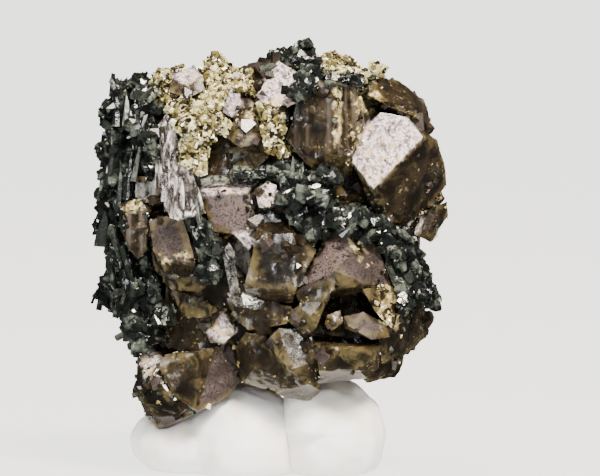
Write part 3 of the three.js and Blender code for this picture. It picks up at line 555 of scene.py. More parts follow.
# %% Long green blades
LONG_BLADES = [
    ((-14.2, 33.1, 4.4), (-14.2, 36.1, 3.8), 0.80, 0.6), ((-13.3, 33.2, 5.0), (-13.3, 36.3, 4.4), 0.75, 1.3),
    ((-12.5, 33.0, 5.5), (-12.4, 36.2, 4.9), 0.80, 0.5), ((-11.8, 33.2, 5.9), (-11.6, 36.3, 5.2), 0.65, 1.2),
    ((-13.9, 26.2, 5.6), (-13.7, 30.9, 5.2), 0.60, 0.9), ((-13.0, 27.4, 6.5), (-12.6, 32.2, 6.0), 0.55, 0.5),
    ((-14.7, 28.4, 4.6), (-14.3, 32.4, 4.3), 0.60, 0.7), ((-12.2, 28.8, 7.2), (-11.5, 33.1, 6.8), 0.55, 1.2),
    ((-13.4, 23.8, 6.6), (-13.2, 27.4, 6.2), 0.50, 0.8), ((-12.2, 31.0, 6.8), (-13.9, 33.4, 5.0), 0.50, 1.0),
    ((-14.0, 20.3, 5.8), (-12.7, 16.5, 6.9), 0.70, 1.1), ((-13.1, 18.8, 6.6), (-12.0, 15.4, 7.4), 0.60, 0.8),
    ((-14.5, 17.8, 4.8), (-13.6, 14.2, 5.8), 0.70, 0.7), ((-13.3, 12.7, 6.0), (-11.6, 13.6, 7.0), 0.65, 1.2),
    ((-15.5, 22.5, 4.2), (-15.2, 26.1, 4.0), 1.30, 0.7), ((-7.7, 23.3, 10.5), (-6.9, 19.8, 11.0), 0.55, 0.7),
    ((-6.5, 22.9, 10.8), (-5.6, 19.4, 11.2), 0.60, 1.2), ((-5.5, 21.0, 11.0), (-5.0, 17.5, 11.2), 0.60, 0.8),
    ((-4.4, 26.7, 9.5), (-0.6, 27.3, 10.1), 0.80, 1.7), ((-1.6, 27.4, 10.0), (1.9, 27.0, 11.0), 0.80, 1.6),
    ((1.2, 27.3, 10.8), (4.4, 26.7, 11.0), 0.70, 1.4), ((3.2, 25.5, 11.7), (5.2, 25.1, 11.8), 1.20, 1.0),
    ((1.0, 24.8, 11.5), (2.4, 24.6, 11.7), 1.10, 1.1), ((0.9, 27.7, 10.4), (0.8, 30.2, 10.2), 0.55, 1.2),
    ((1.8, 27.9, 10.8), (1.9, 30.0, 10.6), 0.60, 0.9), ((2.6, 27.6, 11.0), (2.9, 29.2, 10.9), 0.55, 1.4),
    ((5.0, 27.3, 10.4), (6.6, 26.4, 10.3), 0.80, 0.8), ((7.0, 22.2, 10.9), (8.3, 23.7, 11.1), 0.80, 0.8),
    ((8.6, 21.7, 10.6), (9.6, 23.2, 10.1), 0.80, 0.6), ((12.3, 21.4, 8.3), (13.7, 20.4, 7.4), 0.70, 1.3),
    ((11.5, 19.9, 9.6), (12.7, 18.8, 9.1), 0.70, 1.3), ((13.1, 18.7, 7.2), (14.3, 17.0, 6.0), 0.90, 1.3),
    ((12.1, 16.8, 8.9), (13.4, 15.3, 7.4), 0.70, 1.3), ((11.0, 17.6, 9.9), (11.9, 15.4, 9.9), 0.60, 1.1),
    ((0.6, 37.0, 6.6), (3.9, 37.6, 5.6), 0.80, 1.2), ((3.2, 36.6, 8.4), (5.4, 38.0, 4.4), 0.70, 1.0),
    ((-11.3, 34.6, 6.6), (-10.0, 36.2, 5.8), 0.60, 1.0), ((-10.6, 34.4, 7.0), (-9.4, 35.6, 6.4), 0.55, 1.4),
    ((5.9, 35.2, 11.3), (8.1, 35.0, 10.6), 0.60, 1.1), ((1.8, 34.6, 11.6), (3.6, 34.4, 11.9), 0.90, 0.4),
]

BLADE_REACH = 0.93  # the slanted end of the blade shape is this high
EDGE_ON = (0.25, 1.0, 0.2)


def from_seen(place):
    x, height, forward = place
    return np.array([x, -forward, height + forward * VIEW_SLOPE]) * MM


def blades_as_seen(name, blades):
    feet = np.array([from_seen(foot) for foot, tip, width, tone in blades])
    tips = np.array([from_seen(tip) for foot, tip, width, tone in blades])
    widths = np.array([width for foot, tip, width, tone in blades]) * MM
    tones = np.array([tone for foot, tip, width, tone in blades])
    lengths = np.linalg.norm(tips - feet, axis=1)
    up = (tips - feet) / lengths[:, None]
    flat = unit(np.cross(up, EDGE_ON))
    turns = np.stack([flat, np.cross(up, flat), up], axis=2)
    sizes = np.stack([widths, 0.7 * widths, lengths / BLADE_REACH], axis=1)
    return strewn(name, blade_shape, feet, turns, sizes, tones)


long_blades = blades_as_seen("green_long_blades", LONG_BLADES)
piece(long_blades, "green_crystal")
green_pieces.append(long_blades)

# %% [markdown]
# The druse is a crust of cream and gold grains, a tenth to half a millimetre across, with dark gaps.
# It is thick on the left of the top and thins out to single grains over the garnets around it. A bump
# in the finish would leave its outline smooth, so the crust gets deep pits, and real grains on top.

# %% Druse crusts
DRUSE_FACE = 0.22 * MM
DRUSES = {"druse_left": 8000, "druse_streak": 1300, "druse_cap": 3000}


def druse_crust(node, number):
    crust_in_shade = copy_of_solid(node, node + "_crust")
    even_faces(crust_in_shade, DRUSE_FACE)
    grown_surface(crust_in_shade, step=0.20, rough=0.14, pit=1.0, shift=70.0 + number)
    # the crust is kept dark: painted shade in the gaps between the grains
    keep_number(crust_in_shade, "tone", np.clip(0.08 + 0.4 * pattern(points_of(crust_in_shade), 0.5, 80), 0, 0.3))
    return crust_in_shade

# %% [markdown]
# Grains come in clusters of like tone: gold, cream or nearly white. One flake goes in for every five
# grains: the same block, flattened and turned any way, which breaks up the beads.

# %% Druse grains and flakes
def grow_grains(node, crust_in_shade, count, random):
    places, outward = places_on(crust_in_shade, count, patchy(0.60, 2.4, 1.3, 91, 0.06), random)
    count = len(places)
    size = (0.09 + 0.36 * random.random(count) ** 3) * MM
    sizes = size[:, None] * (0.3 + 1.4 * random.random((count, 3)))
    clusters = 0.5 + 1.2 * pattern(places, 0.8, 90)
    tones = np.clip(0.4 * clusters + 1.1 * random.random(count) - 0.36, 0, 1)
    return strewn(node + "_grains", block_grain, places, turned(outward, 0.9, random), sizes, tones)


def grow_flakes(node, crust_in_shade, count, random):
    places, outward = places_on(crust_in_shade, count, patchy(0.3, 2, 1.2, 93, 0.05), random)
    width = (0.25 + 0.5 * random.random(len(places)) ** 2) * MM
    sizes = np.stack([width, width * (0.5 + 0.5 * random.random(len(places))), 0.25 * width], axis=1)
    tones = 0.25 + 0.75 * random.random(len(places))
    return strewn(node + "_flakes", block_grain, places, turned(outward, 1.2, random), sizes, tones)


druse_pieces = []
for number, (node, count) in enumerate(DRUSES.items()):
    random = np.random.default_rng(SEEDS["druses"] + number)
    crust_in_shade = druse_crust(node, number)
    grains = grow_grains(node, crust_in_shade, count, random)
    grains_grown = len(grains.data.vertices) // len(block_grain[0])
    flakes = grow_flakes(node, crust_in_shade, grains_grown // 5, random)
    for crusty in (crust_in_shade, grains, flakes):
        piece(crusty, "druse", node)
        druse_pieces.append(crusty)

# %% [markdown]
# Dust and small garnets gather in the creases between the large garnets. How deep a point lies in a
# crease and which patch it is on are numbers on the mesh, but a strewn place lies between its points. So
# the numbers are looked up in a grid of cells, which is quicker than a search for the nearest point.

# %% Look up a number by place
CELL = 0.5 * MM
crease_amount = np.clip(-garnet_ridges * 16, 0, 1)
pale_amount = patch_numbers["sugar_and_highlight"] + patch_numbers["satin_sheen_faces"] + patch_numbers["rosy"]
plain_amount = 1 - np.clip(pale_amount, 0, 1)


def cells_of(places):
    return map(tuple, np.floor(places / CELL).astype(int))


def largest_near(amounts):
    """Each cell of the grid keeps the largest amount of the points in it."""
    table = {}
    for cell, amount in zip(cells_of(garnet_points), amounts):
        if amount > table.get(cell, 0):
            table[cell] = amount
    return lambda places: np.array([table.get(cell, 0) for cell in cells_of(places)])


crease_at = largest_near(crease_amount)
cream_at = largest_near(patch_numbers["cream"])
plain_at = largest_near(plain_amount)
print("points in creases", int((crease_amount > 0.5).sum()), "of", len(garnet_points))

# %% [markdown]
# Loose grains of the druse sit in the creases, on the cream patches and on the top, and a few anywhere.
# This dusting ties the minerals together. It is the block grain again, and most of it is very small.

# %% Dust in the creases
DUST_GRAINS = 4600
random = np.random.default_rng(SEEDS["dust"])


def dusty(places, outward):
    on_top = 0.35 * np.clip((places[:, 2] / MM - 35.0) / 2, 0, 1) * (pattern(places, 1.6, 98) > 0)
    in_creases = 0.5 * crease_at(places) * (pattern(places, 3.0, 95) > -0.05)
    on_cream = 0.45 * cream_at(places) * (pattern(places, 0.9, 97) > 0)
    return np.clip(on_top + in_creases + on_cream, 0.003, 1)


places, outward = places_on(garnets, DUST_GRAINS, dusty, random)
count = len(places)
size = (0.08 + 0.30 * random.random(count) ** 4) * MM
sizes = size[:, None] * (0.5 + 1.0 * random.random((count, 3)))
turns = turned(outward, 0.9, random)
dust = strewn("druse_dust", block_grain, places, turns, sizes, random.random(count) * 0.9)
piece(dust, "druse")

# %% [markdown]
# Between the large garnets sit many small ones of the same kind, a third of a millimetre to one and a
# half millimetres across. They are the block grain again, sunk a little in the faces, most of them along
# the creases and none on the pale faces, where they would look like dark holes. The nine that can be
# told apart in the front view are listed one by one.

# %% Small garnets
SMALL_GARNETS, SATIN_SHARE = 1500, 0.35
SEEN_SMALL_GARNETS = [  # middle as seen, with how far forward, and size
    ((12.9, 31.7, 5.4), 1.7), ((13.5, 31.3, 4.6), 1.5), ((12.2, 32.3, 6.2), 1.3), ((9.9, 35.2, 5.6), 1.2),
    ((-1.4, 36.5, 3.4), 1.7), ((-0.5, 36.9, 3.2), 1.5), ((-2.3, 36.3, 4.0), 1.4), ((0.3, 37.4, 3.4), 1.3),
    ((-0.9, 37.2, 2.8), 1.1),
]
random = np.random.default_rng(SEEDS["small garnets"])


def crowded(places, outward):
    crowd = 0.9 * crease_at(places) + 0.9 * (pattern(places, 3.4, 111) - 0.12)
    return np.clip(crowd, 0.01, 1) * (plain_at(places) > 0.9)


places, outward = places_on(garnets, SMALL_GARNETS, crowded, random)
count = len(places)
size = (0.30 + 0.9 * random.random(count) ** 2.5) * MM
sizes = size[:, None] * (0.8 + 0.5 * random.random((count, 3)))
sunk = places - outward * (0.22 * size)[:, None]
turns = turned(outward, 0.9, random)
seen_places = np.array([from_seen(place) for place, size in SEEN_SMALL_GARNETS])
seen_sizes = np.array([[size] * 3 for place, size in SEEN_SMALL_GARNETS]) * MM
seen_turns = turned(np.tile((0.3, -0.8, 0.4), (len(seen_places), 1)), 0.3, random)
count += len(seen_places)
small_garnets = strewn(
    "small_garnets", block_grain, np.vstack([sunk, seen_places]), np.vstack([turns, seen_turns]),
    np.vstack([sizes, seen_sizes]), random.random(count),
)

# %% [markdown]
# All faces of a small garnet are flat, so each one that looks into a light would flash white. Real ones
# differ in gloss, so each copy gets a share of the satin that the purple-grey faces have, and with it a share
# of their painted sheen.

# %% Satin on some small garnets
satin_and_sheen = np.where(random.random(count) < SATIN_SHARE, 0.7, 0.15)
keep_number(small_garnets, "satin_sheen_faces", np.repeat(satin_and_sheen, len(block_grain[0])))
piece(small_garnets, "garnet")
print("satin small garnets", int((satin_and_sheen > 0.5).sum()), "of", count)

# %% [markdown]
# Green specks: the same blade, small and few, near the band, the crown and the flank. They soften the
# borders of the green masses, which would otherwise end in a line as no real growth does.

# %% Green specks on the garnets
GREEN_SPECKS = 2400
GREEN_SPOTS = [  # right, up and radius as seen, in millimetres
    (-11.4, 11.9, 1.4), (1.7, 28.8, 1.3), (-10.4, 35.4, 1.2), (7.6, 22.6, 1.7), (11.5, 20.0, 1.6),
    (12.8, 15.0, 1.5),
]
random = np.random.default_rng(SEEDS["specks"])


def speckled(places, outward):
    x, z = as_seen(places)
    near_top = np.clip((z - 35.6) / 1.5, 0, 1)
    near_band = np.exp(-(((z - 24.5 + 0.35 * (x - 3)) / 2.6) ** 2)) * (places[:, 1] < 0)
    near_flank = np.clip((-x - 9.5) / 2, 0, 1)
    spots = sum(np.exp(-((x - sx) ** 2 + (z - sz) ** 2) / size**2) for sx, sz, size in GREEN_SPOTS)
    chance = 0.02 + 0.8 * near_top + 0.5 * near_band + 0.6 * near_flank
    return np.clip(chance * (pattern(places, 1.8, 99) > 0) + spots * (places[:, 1] < 0), 0, 1)


places, outward = places_on(garnets, GREEN_SPECKS, speckled, random)
count = len(places)
width = (0.14 + 0.42 * random.random(count) ** 2) * MM
sizes = np.stack([width, width * 0.8, width * (1.0 + 1.4 * random.random(count))], axis=1)
turns = turned(outward, 0.8, random)
tones = 1.4 * random.random(count)
specks = strewn("green_specks", blade_shape, places - outward * 0.05 * MM, turns, sizes, tones)
piece(specks, "green_crystal")

# %% [markdown]
# Two pale prisms stand in front: a broad frosted one beside the druse and a slim clear one in the
# middle. Real prisms are striped along their length, so each one gets fine ribs that run along it. The
# pattern is read in the prism's own directions, and along its length it is stretched out.

# %% The two prisms
def striped_prism(node, name, face_size, along, rib_height):
    prism = copy_of_solid(node, name)
    even_faces(prism, face_size)
    points, outward = points_of(prism), outward_of(prism)
    along = np.array(along) / np.linalg.norm(along)
    across = np.cross(along, (0, 1, 0))
    own = np.stack([points @ across, (points @ along) * 0.06, points[:, 1] * 0.3], axis=1)
    height = rib_height * pattern(own, 0.28, 5) + 0.02 * pattern(points, 0.8, 9)
    move_points(prism, points + outward * (height * MM)[:, None])
    only(prism)
    bpy.ops.object.shade_smooth_by_angle(angle=math.radians(25))
    return prism


frosted_prism = striped_prism(
    "pale_prism", "frosted_prism", face_size=0.16 * MM, along=(-0.35, 0, 1), rib_height=0.02)
glassy_prism = striped_prism(
    "clear_prism", "glassy_prism", face_size=0.12 * MM, along=(-0.2, 0, 1), rib_height=0.03)

# %% [markdown]
# Slim rods of the same crystal lean on the frosted prism, and one tip stands on the top edge. They are
# given by foot, tip and width like the long green blades. Their tone stays 0, as their finish has none.

# %% Frosted rods
PALE_RODS = [
    ((-10.4, 28.0, 8.6), (-10.5, 31.9, 8.4), 0.60, 0), ((-9.9, 26.6, 9.1), (-10.1, 30.2, 9.0), 0.55, 0),
    ((-9.5, 25.4, 9.7), (-9.6, 28.4, 10.0), 0.70, 0), ((-8.7, 25.0, 10.2), (-8.9, 28.0, 10.5), 0.75, 0),
    ((-8.0, 25.1, 10.3), (-8.2, 27.2, 10.7), 0.65, 0), ((-10.9, 29.0, 7.9), (-11.0, 31.1, 8.0), 0.45, 0),
    ((-7.3, 36.6, 4.1), (-7.1, 38.0, 3.9), 1.0, 0),
]
pale_rods = blades_as_seen("frosted_prism_rods", PALE_RODS)
piece(pale_rods, "frosted_crystal")
piece(frosted_prism, "frosted_crystal", "pale_prism")
piece(glassy_prism, "clear_crystal", "clear_prism")

# %% [markdown]
# The putty is soft mounting putty, rolled into balls and pressed on by thumb: round lobes that run into
# each other, with shallow dents. A voxel remesh melts the lobes together, as kneading does, and here its
# rounding is welcome. Between two lobes it is squeezed up against the crystals. The foot stays flat,
# because it carries the whole specimen.

# %% Putty mount
PUTTY_VOXEL = 0.22 * MM
putty = copy_of_solid("putty_mount", "putty_mount_pressed")
finish_modifier(putty, "REMESH", mode="VOXEL", voxel_size=PUTTY_VOXEL)
finish_modifier(putty, "SMOOTH", factor=0.6, iterations=12)
putty_points, putty_outward = points_of(putty), outward_of(putty)
swelling = 0.38 + 0.22 * pattern(putty_points, 3.2, 11) + 0.07 * pattern(putty_points, 1.1, 17)
squeezed_up = np.exp(-((putty_points[:, 0] / MM - 3.2) / 1.5) ** 2) * (putty_points[:, 2] > 4 * MM)
swelling += 0.9 * squeezed_up
above_foot = np.clip(putty_points[:, 2] / (0.6 * MM), 0, 1)
move_points(putty, putty_points + putty_outward * (swelling * above_foot * MM)[:, None])
only(putty)
bpy.ops.object.shade_smooth()
piece(putty, "putty", "putty_mount")
piece(garnets, "garnet", "garnet_cluster")
print("putty faces", len(putty.data.polygons))

# %% [markdown]
# Every finish is a small graph of nodes. One function turns the hex colours, which are sRGB, into the
# linear numbers that the shader works in, and one function adds a node with its settings and links. Most
# mineral colours are layers, such as a stain over a satin face over the brown body, so the recipe that is
# used most lays one colour over another, as thick as a pattern or a number on the mesh says.

# %% Helpers for finishes
def linear(hex_colour):
    parts = [int(hex_colour[n:n + 2], 16) / 255 for n in (1, 3, 5)]
    return [p / 12.92 if p <= 0.04045 else ((p + 0.055) / 1.055) ** 2.4 for p in parts] + [1.0]


def add(tree, kind, sockets=None, **settings):
    made = tree.nodes.new(kind)
    for name, value in settings.items():
        setattr(made, name, value)
    for name, value in (sockets or {}).items():
        if isinstance(value, bpy.types.NodeSocket):
            tree.links.new(value, made.inputs[name])
        else:
            made.inputs[name].default_value = value
    return made


def new_finish(name):
    finish = bpy.data.materials.new(name)
    finish.use_nodes = True
    finish.node_tree.nodes.clear()
    tree = finish.node_tree
    return finish, tree, add(tree, "ShaderNodeTexCoord").outputs["Object"]


def per_mm(size):
    return 1 / (size * MM)


def laid_over(tree, below, above, *where_thick, share=1.0):
    """Lays a colour over another. Each of where_thick is a number, or the name of one that the mesh
    carries, with the value where it begins to count and the value where it counts in full. All of
    them are multiplied."""
    amount = share
    for number, low, high in where_thick:
        if isinstance(number, str):
            number = add(tree, "ShaderNodeAttribute", attribute_name=number).outputs["Fac"]
        counted = add(tree, "ShaderNodeMapRange", {"Value": number, "From Min": low, "From Max": high},
                      interpolation_type="SMOOTHSTEP").outputs[0]
        amount = add(tree, "ShaderNodeMath", {0: counted, 1: amount}, operation="MULTIPLY").outputs[0]
    below, above = (linear(colour) if isinstance(colour, str) else colour for colour in (below, above))
    return add(tree, "ShaderNodeMix", {0: amount, 6: below, 7: above}, data_type="RGBA").outputs[2]

# %% [markdown]
# Andradite is a calcium iron garnet, dark olive brown, with a strong glassy to resinous lustre and a
# high index of 1.89. Its natural faces are etched, which halves that gloss, so the index is set lower.
# The body colour is a slow cloud of two browns, with paler veins, darker grains, and painted shade in the
# hollows.
# The pits and the tiny crystals are drawn at a fifth of a millimetre, about three times their real
# size, so that they show.

# %% Garnet finish: patterns and brown body
GARNET_PATTERNS = [  # size in millimetres, detail, roughness and swirl of grain, cloud, veins and fleck
    (0.5, 5.0, 0.65, 0), (2.6, 4.0, 0.6, 0), (1.3, 5.0, 0.5, 1.2), (0.2, 2.0, 0.6, 0),
]
grown_garnet, tree, where = new_finish("andradite_natural_faces")
grain, cloud, veins, fleck = (
    add(tree, "ShaderNodeTexNoise", {"Vector": where, "Scale": per_mm(size), "Detail": detail,
                                     "Roughness": roughness, "Distortion": swirl}).outputs["Fac"]
    for size, detail, roughness, swirl in GARNET_PATTERNS
)
crystals = add(tree, "ShaderNodeTexVoronoi", {"Vector": where, "Scale": per_mm(0.2), "Randomness": 1.0})
cell = add(tree, "ShaderNodeSeparateColor", {0: crystals.outputs["Color"]}).outputs[0]
colour = laid_over(tree, "#0f0c08", "#272015", (cloud, 0.38, 0.64))
# painted shade in the hollows in front; on the other sides, dark patches that come and go with a slow pattern
colour = laid_over(tree, colour, "#0c0906", ("dark_patch_and_shade", 0, 1), share=0.6)
colour = laid_over(tree, colour, "#423823", (veins, 0.52, 0.70), share=0.5)
colour = laid_over(tree, colour, "#0d0a07", (grain, 0.52, 0.62), share=0.5)
# painted highlight on the crests of the ribs
colour = laid_over(tree, colour, "#5a4f45", ("rib_highlight", 0, 1), share=0.8)
print("patterns of the garnet in mm", [size for size, detail, roughness, swirl in GARNET_PATTERNS])

# %% [markdown]
# The purple-grey faces are satin, with fine dark pits, and their mauve-grey colour is partly a painted
# sheen. The rosy ones are a paler kind of them. The veins pattern breaks both up at their borders.

# %% Garnet finish: satin and rosy faces
# satin faces: their mauve-grey is partly a painted sheen
satin_and_sheen = laid_over(tree, "#342c2a", "#443b39", (cloud, 0.4, 0.6))
satin_and_sheen = laid_over(tree, satin_and_sheen, "#191311", (fleck, 0.50, 0.60), share=0.8)
colour = laid_over(tree, colour, satin_and_sheen, ("satin_sheen_faces", 0, 1), (veins, 0.26, 0.40))
rosy = laid_over(tree, "#5a4f4d", "#2a2321", (fleck, 0.50, 0.60), share=0.85)
colour = laid_over(tree, colour, rosy, ("rosy", 0, 1), (veins, 0.24, 0.38))
print(len(tree.nodes), "nodes so far")

# %% [markdown]
# Young zones let light through and look olive gold, and thin edges do as well: along the crystal rims the
# olive gold is a painted glow of that light. Cream stains and single pale crystals come next, and last the
# sugary faces, which are partly a painted highlight and are coated with tiny pale crystals: each cell of a
# Voronoi pattern is one of them, and its random colour gives how pale it is.

# %% Garnet finish: gold, stains and sugar
olive = laid_over(tree, "#282414", "#4c452b", (grain, 0.38, 0.66))
colour = laid_over(tree, colour, olive, ("golden", 0, 1), (veins, 0.38, 0.58), share=0.9)
# painted glow of light let through the thin edges
colour = laid_over(tree, colour, "#544a2e", ("edge", 0.2, 1), (veins, 0.36, 0.64), share=0.8)
stain = laid_over(tree, "#6d603a", "#c6b78a", (grain, 0.44, 0.58))
colour = laid_over(tree, colour, stain, ("cream", 0, 1), (veins, 0.44, 0.54))
colour = laid_over(tree, colour, "#857a60", (cell, 0.9, 0.98), (cloud, 0.5, 0.62), share=0.5)
# the sugary coat: tiny pale crystals, partly a painted highlight
sugar_and_highlight_colour = laid_over(tree, "#877a7c", "#cabec0", (cell, 0.25, 0.65))
sugar_and_highlight_colour = laid_over(tree, sugar_and_highlight_colour, "#40343a", (grain, 0.51, 0.575), share=0.85)
sugar_and_highlight_colour = laid_over(tree, sugar_and_highlight_colour, "#cbb67e", (veins, 0.53, 0.64), share=0.6)
colour = laid_over(tree, colour, sugar_and_highlight_colour, ("sugar_and_highlight", 0, 1), (grain, 0.20, 0.36))
print(len(tree.nodes), "nodes so far")

# %% [markdown]
# The brown faces are glossy, a little rougher where the grain pattern is high. The coated kinds are
# satin: the number of each kind adds roughness and takes gloss away.

# %% Garnet finish: gloss and fine relief
rough = add(tree, "ShaderNodeMapRange", {"Value": grain, "From Min": 0.3, "From Max": 0.75,
                                         "To Min": 0.17, "To Max": 0.29}).outputs[0]
gloss = 0.5
for kind in ("satin_sheen_faces", "rosy", "sugar_and_highlight"):
    faces = add(tree, "ShaderNodeAttribute", attribute_name=kind).outputs["Fac"]
    rough = add(tree, "ShaderNodeMath", {0: faces, 1: 0.3, 2: rough}, operation="MULTIPLY_ADD").outputs[0]
    gloss = add(tree, "ShaderNodeMath", {0: faces, 1: -0.35, 2: gloss}, operation="MULTIPLY_ADD").outputs[0]
uneven = add(tree, "ShaderNodeBump", {"Height": grain, "Distance": 0.05 * MM, "Strength": 0.3}).outputs[0]
pitted = add(tree, "ShaderNodeBump", {"Height": fleck, "Distance": 0.03 * MM, "Strength": 0.35,
                                      "Normal": uneven}).outputs[0]
shader = add(tree, "ShaderNodeBsdfPrincipled", {"Base Color": colour, "Roughness": rough, "Normal": pitted,
                                                "IOR": 1.6, "Specular IOR Level": gloss})
add(tree, "ShaderNodeOutputMaterial", {"Surface": shader.outputs[0]})
for brown in (garnets, small_garnets):
    brown.data.materials.append(grown_garnet)
print(grown_garnet.name, len(tree.nodes), "nodes")

# %% [markdown]
# The green mineral is a black-green amphibole or pyroxene: glassy blades, nearly black in their body and
# grey-green where light passes a thin edge. The grey-green comes as a slow cloud over the blades and is a
# painted highlight. Tone, the number that came with each blade, spreads them, and above 0.9 a blade begins
# to turn pale.

# %% Green finish
green_blades, tree, where = new_finish("black_green_blades_natural")
cloud = add(tree, "ShaderNodeTexNoise", {"Vector": where, "Scale": per_mm(1.4), "Detail": 3.0}).outputs["Fac"]
grain = add(tree, "ShaderNodeTexNoise", {"Vector": where, "Scale": per_mm(0.3), "Detail": 3.0}).outputs["Fac"]
colour = laid_over(tree, "#090b0a", "#1b201d", ("tone", 0.2, 1.0))
# grey-green cloud: a painted highlight
colour = laid_over(tree, colour, "#5a6158", (cloud, 0.53, 0.68), share=0.7)
colour = laid_over(tree, colour, "#757b70", ("tone", 0.9, 1.8), (grain, 0.36, 0.62))
bump = add(tree, "ShaderNodeBump", {"Height": grain, "Distance": 0.05 * MM, "Strength": 0.4}).outputs[0]
shader = add(tree, "ShaderNodeBsdfPrincipled",
             {"Base Color": colour, "Roughness": 0.16, "Normal": bump, "IOR": 1.66})
add(tree, "ShaderNodeOutputMaterial", {"Surface": shader.outputs[0]})
for green in green_pieces + [specks]:
    green.data.materials.append(green_blades)
print(green_blades.name, "on", len(green_pieces) + 1, "pieces")

# %% [markdown]
# The druse is fine grained garnet or epidote of a cream to golden colour. Its grains are bright because
# they are small and clear, so most light comes back out. The crust under and between them gets the darkest
# tones, which is painted shade in the gaps.

# %% Druse finish
druse_grains, tree, where = new_finish("cream_druse_natural")
grain = add(tree, "ShaderNodeTexNoise", {"Vector": where, "Scale": per_mm(0.5), "Detail": 3.0}).outputs["Fac"]
colour = laid_over(tree, "#19140a", "#6f6639", ("tone", 0.05, 0.45))
colour = laid_over(tree, colour, "#c6bd8a", ("tone", 0.42, 0.8))
colour = laid_over(tree, colour, "#f5f1d6", ("tone", 0.80, 1.0))
bump = add(tree, "ShaderNodeBump", {"Height": grain, "Distance": 0.05 * MM, "Strength": 0.4}).outputs[0]
shader = add(tree, "ShaderNodeBsdfPrincipled",
             {"Base Color": colour, "Roughness": 0.18, "Normal": bump, "IOR": 1.7, "Subsurface Weight": 0.1,
              "Subsurface Radius": (1.0, 0.8, 0.5), "Subsurface Scale": 0.3 * MM})
add(tree, "ShaderNodeOutputMaterial", {"Surface": shader.outputs[0]})
for crusty in druse_pieces + [dust]:
    crusty.data.materials.append(druse_grains)
print(druse_grains.name, "on", len(druse_pieces) + 1, "pieces")

# %% [markdown]
# The frosted prism lets light in and scatters it, so it is part clear and part milky, with white
# streaks along it. A noise pattern, turned to lie along the prism and stretched that way, says where it
# is milky. The same pattern gives the relief, because the streaks are ribs and healed cracks.

# %% Frosted prism finish
LEAN = math.radians(-19)
frosted, tree, where = new_finish("frosted_prism_natural")
stretched = add(tree, "ShaderNodeMapping", {"Vector": where, "Rotation": (0, LEAN, 0),
                                            "Scale": (1, 0.6, 0.3)}).outputs[0]
streak = add(tree, "ShaderNodeTexNoise", {"Vector": stretched, "Scale": per_mm(0.6), "Detail": 4.0,
                                          "Roughness": 0.65, "Distortion": 0.8}).outputs["Fac"]
colour = laid_over(tree, "#c6beba", "#fcfbfa", (streak, 0.5, 0.62))
milky = add(tree, "ShaderNodeMapRange", {"Value": streak, "From Min": 0.475, "From Max": 0.665,
                                         "To Min": 0.98, "To Max": 0.35}).outputs[0]
bump = add(tree, "ShaderNodeBump", {"Height": streak, "Distance": 0.08 * MM, "Strength": 0.6}).outputs[0]
shader = add(tree, "ShaderNodeBsdfPrincipled", {"Base Color": colour, "Roughness": 0.08, "Normal": bump,
                                                "IOR": 1.5, "Transmission Weight": milky})
add(tree, "ShaderNodeOutputMaterial", {"Surface": shader.outputs[0]})
for milky_crystal in (frosted_prism, pale_rods):
    milky_crystal.data.materials.append(frosted)
print(frosted.name, len(tree.nodes), "nodes")

# %% [markdown]
# The small prism is clear like glass, with an index of about 1.6 and a faint white veil inside.

# %% Clear prism finish
glassy, tree, where = new_finish("clear_prism_natural")
veil = add(tree, "ShaderNodeTexNoise", {"Vector": where, "Scale": per_mm(0.8), "Detail": 3.0}).outputs["Fac"]
colour = laid_over(tree, "#eef0ec", "#ffffff", (veil, 0.5, 0.65))
clear_share = add(tree, "ShaderNodeMapRange", {"Value": veil, "From Min": 0.45, "From Max": 0.65,
                                               "To Min": 1.0, "To Max": 0.9}).outputs[0]
shader = add(tree, "ShaderNodeBsdfPrincipled",
             {"Base Color": colour, "Roughness": 0.07, "IOR": 1.6, "Transmission Weight": clear_share})
add(tree, "ShaderNodeOutputMaterial", {"Surface": shader.outputs[0]})
glassy_prism.data.materials.append(glassy)
print(glassy.name, len(tree.nodes), "nodes")

# %% [markdown]
# White mounting putty is a filled rubber: matte to satin, soft, and bright, with a little light passing
# under its skin, which warms its shadows.

# %% Putty finish
soft_putty, tree, where = new_finish("white_putty_kneaded")
smear = add(tree, "ShaderNodeTexNoise", {"Vector": where, "Scale": per_mm(2.5), "Detail": 4.0}).outputs["Fac"]
skin = add(tree, "ShaderNodeTexNoise", {"Vector": where, "Scale": per_mm(0.6), "Detail": 3.0}).outputs["Fac"]
colour = laid_over(tree, "#ffffff", "#f8f1ea", (smear, 0.4, 0.65))
bump = add(tree, "ShaderNodeBump", {"Height": skin, "Distance": 0.1 * MM, "Strength": 0.25}).outputs[0]
shader = add(tree, "ShaderNodeBsdfPrincipled",
             {"Base Color": colour, "Roughness": 0.5, "Normal": bump, "Subsurface Weight": 0.4,
              "Subsurface Radius": (1.0, 0.6, 0.4), "Subsurface Scale": 1.5 * MM})
add(tree, "ShaderNodeOutputMaterial", {"Surface": shader.outputs[0]})
putty.data.materials.append(soft_putty)
print(soft_putty.name)

# %% [markdown]
# The specimen stands on a plain pale sweep: a floor that curves up behind it. It is a plane whose far
# edge is pulled up and rounded, far larger than the specimen. It gives a little light of its own, which
# keeps it as pale as the wall of a bright room, and reflections don't show it, because it would turn the
# dark glossy faces grey.

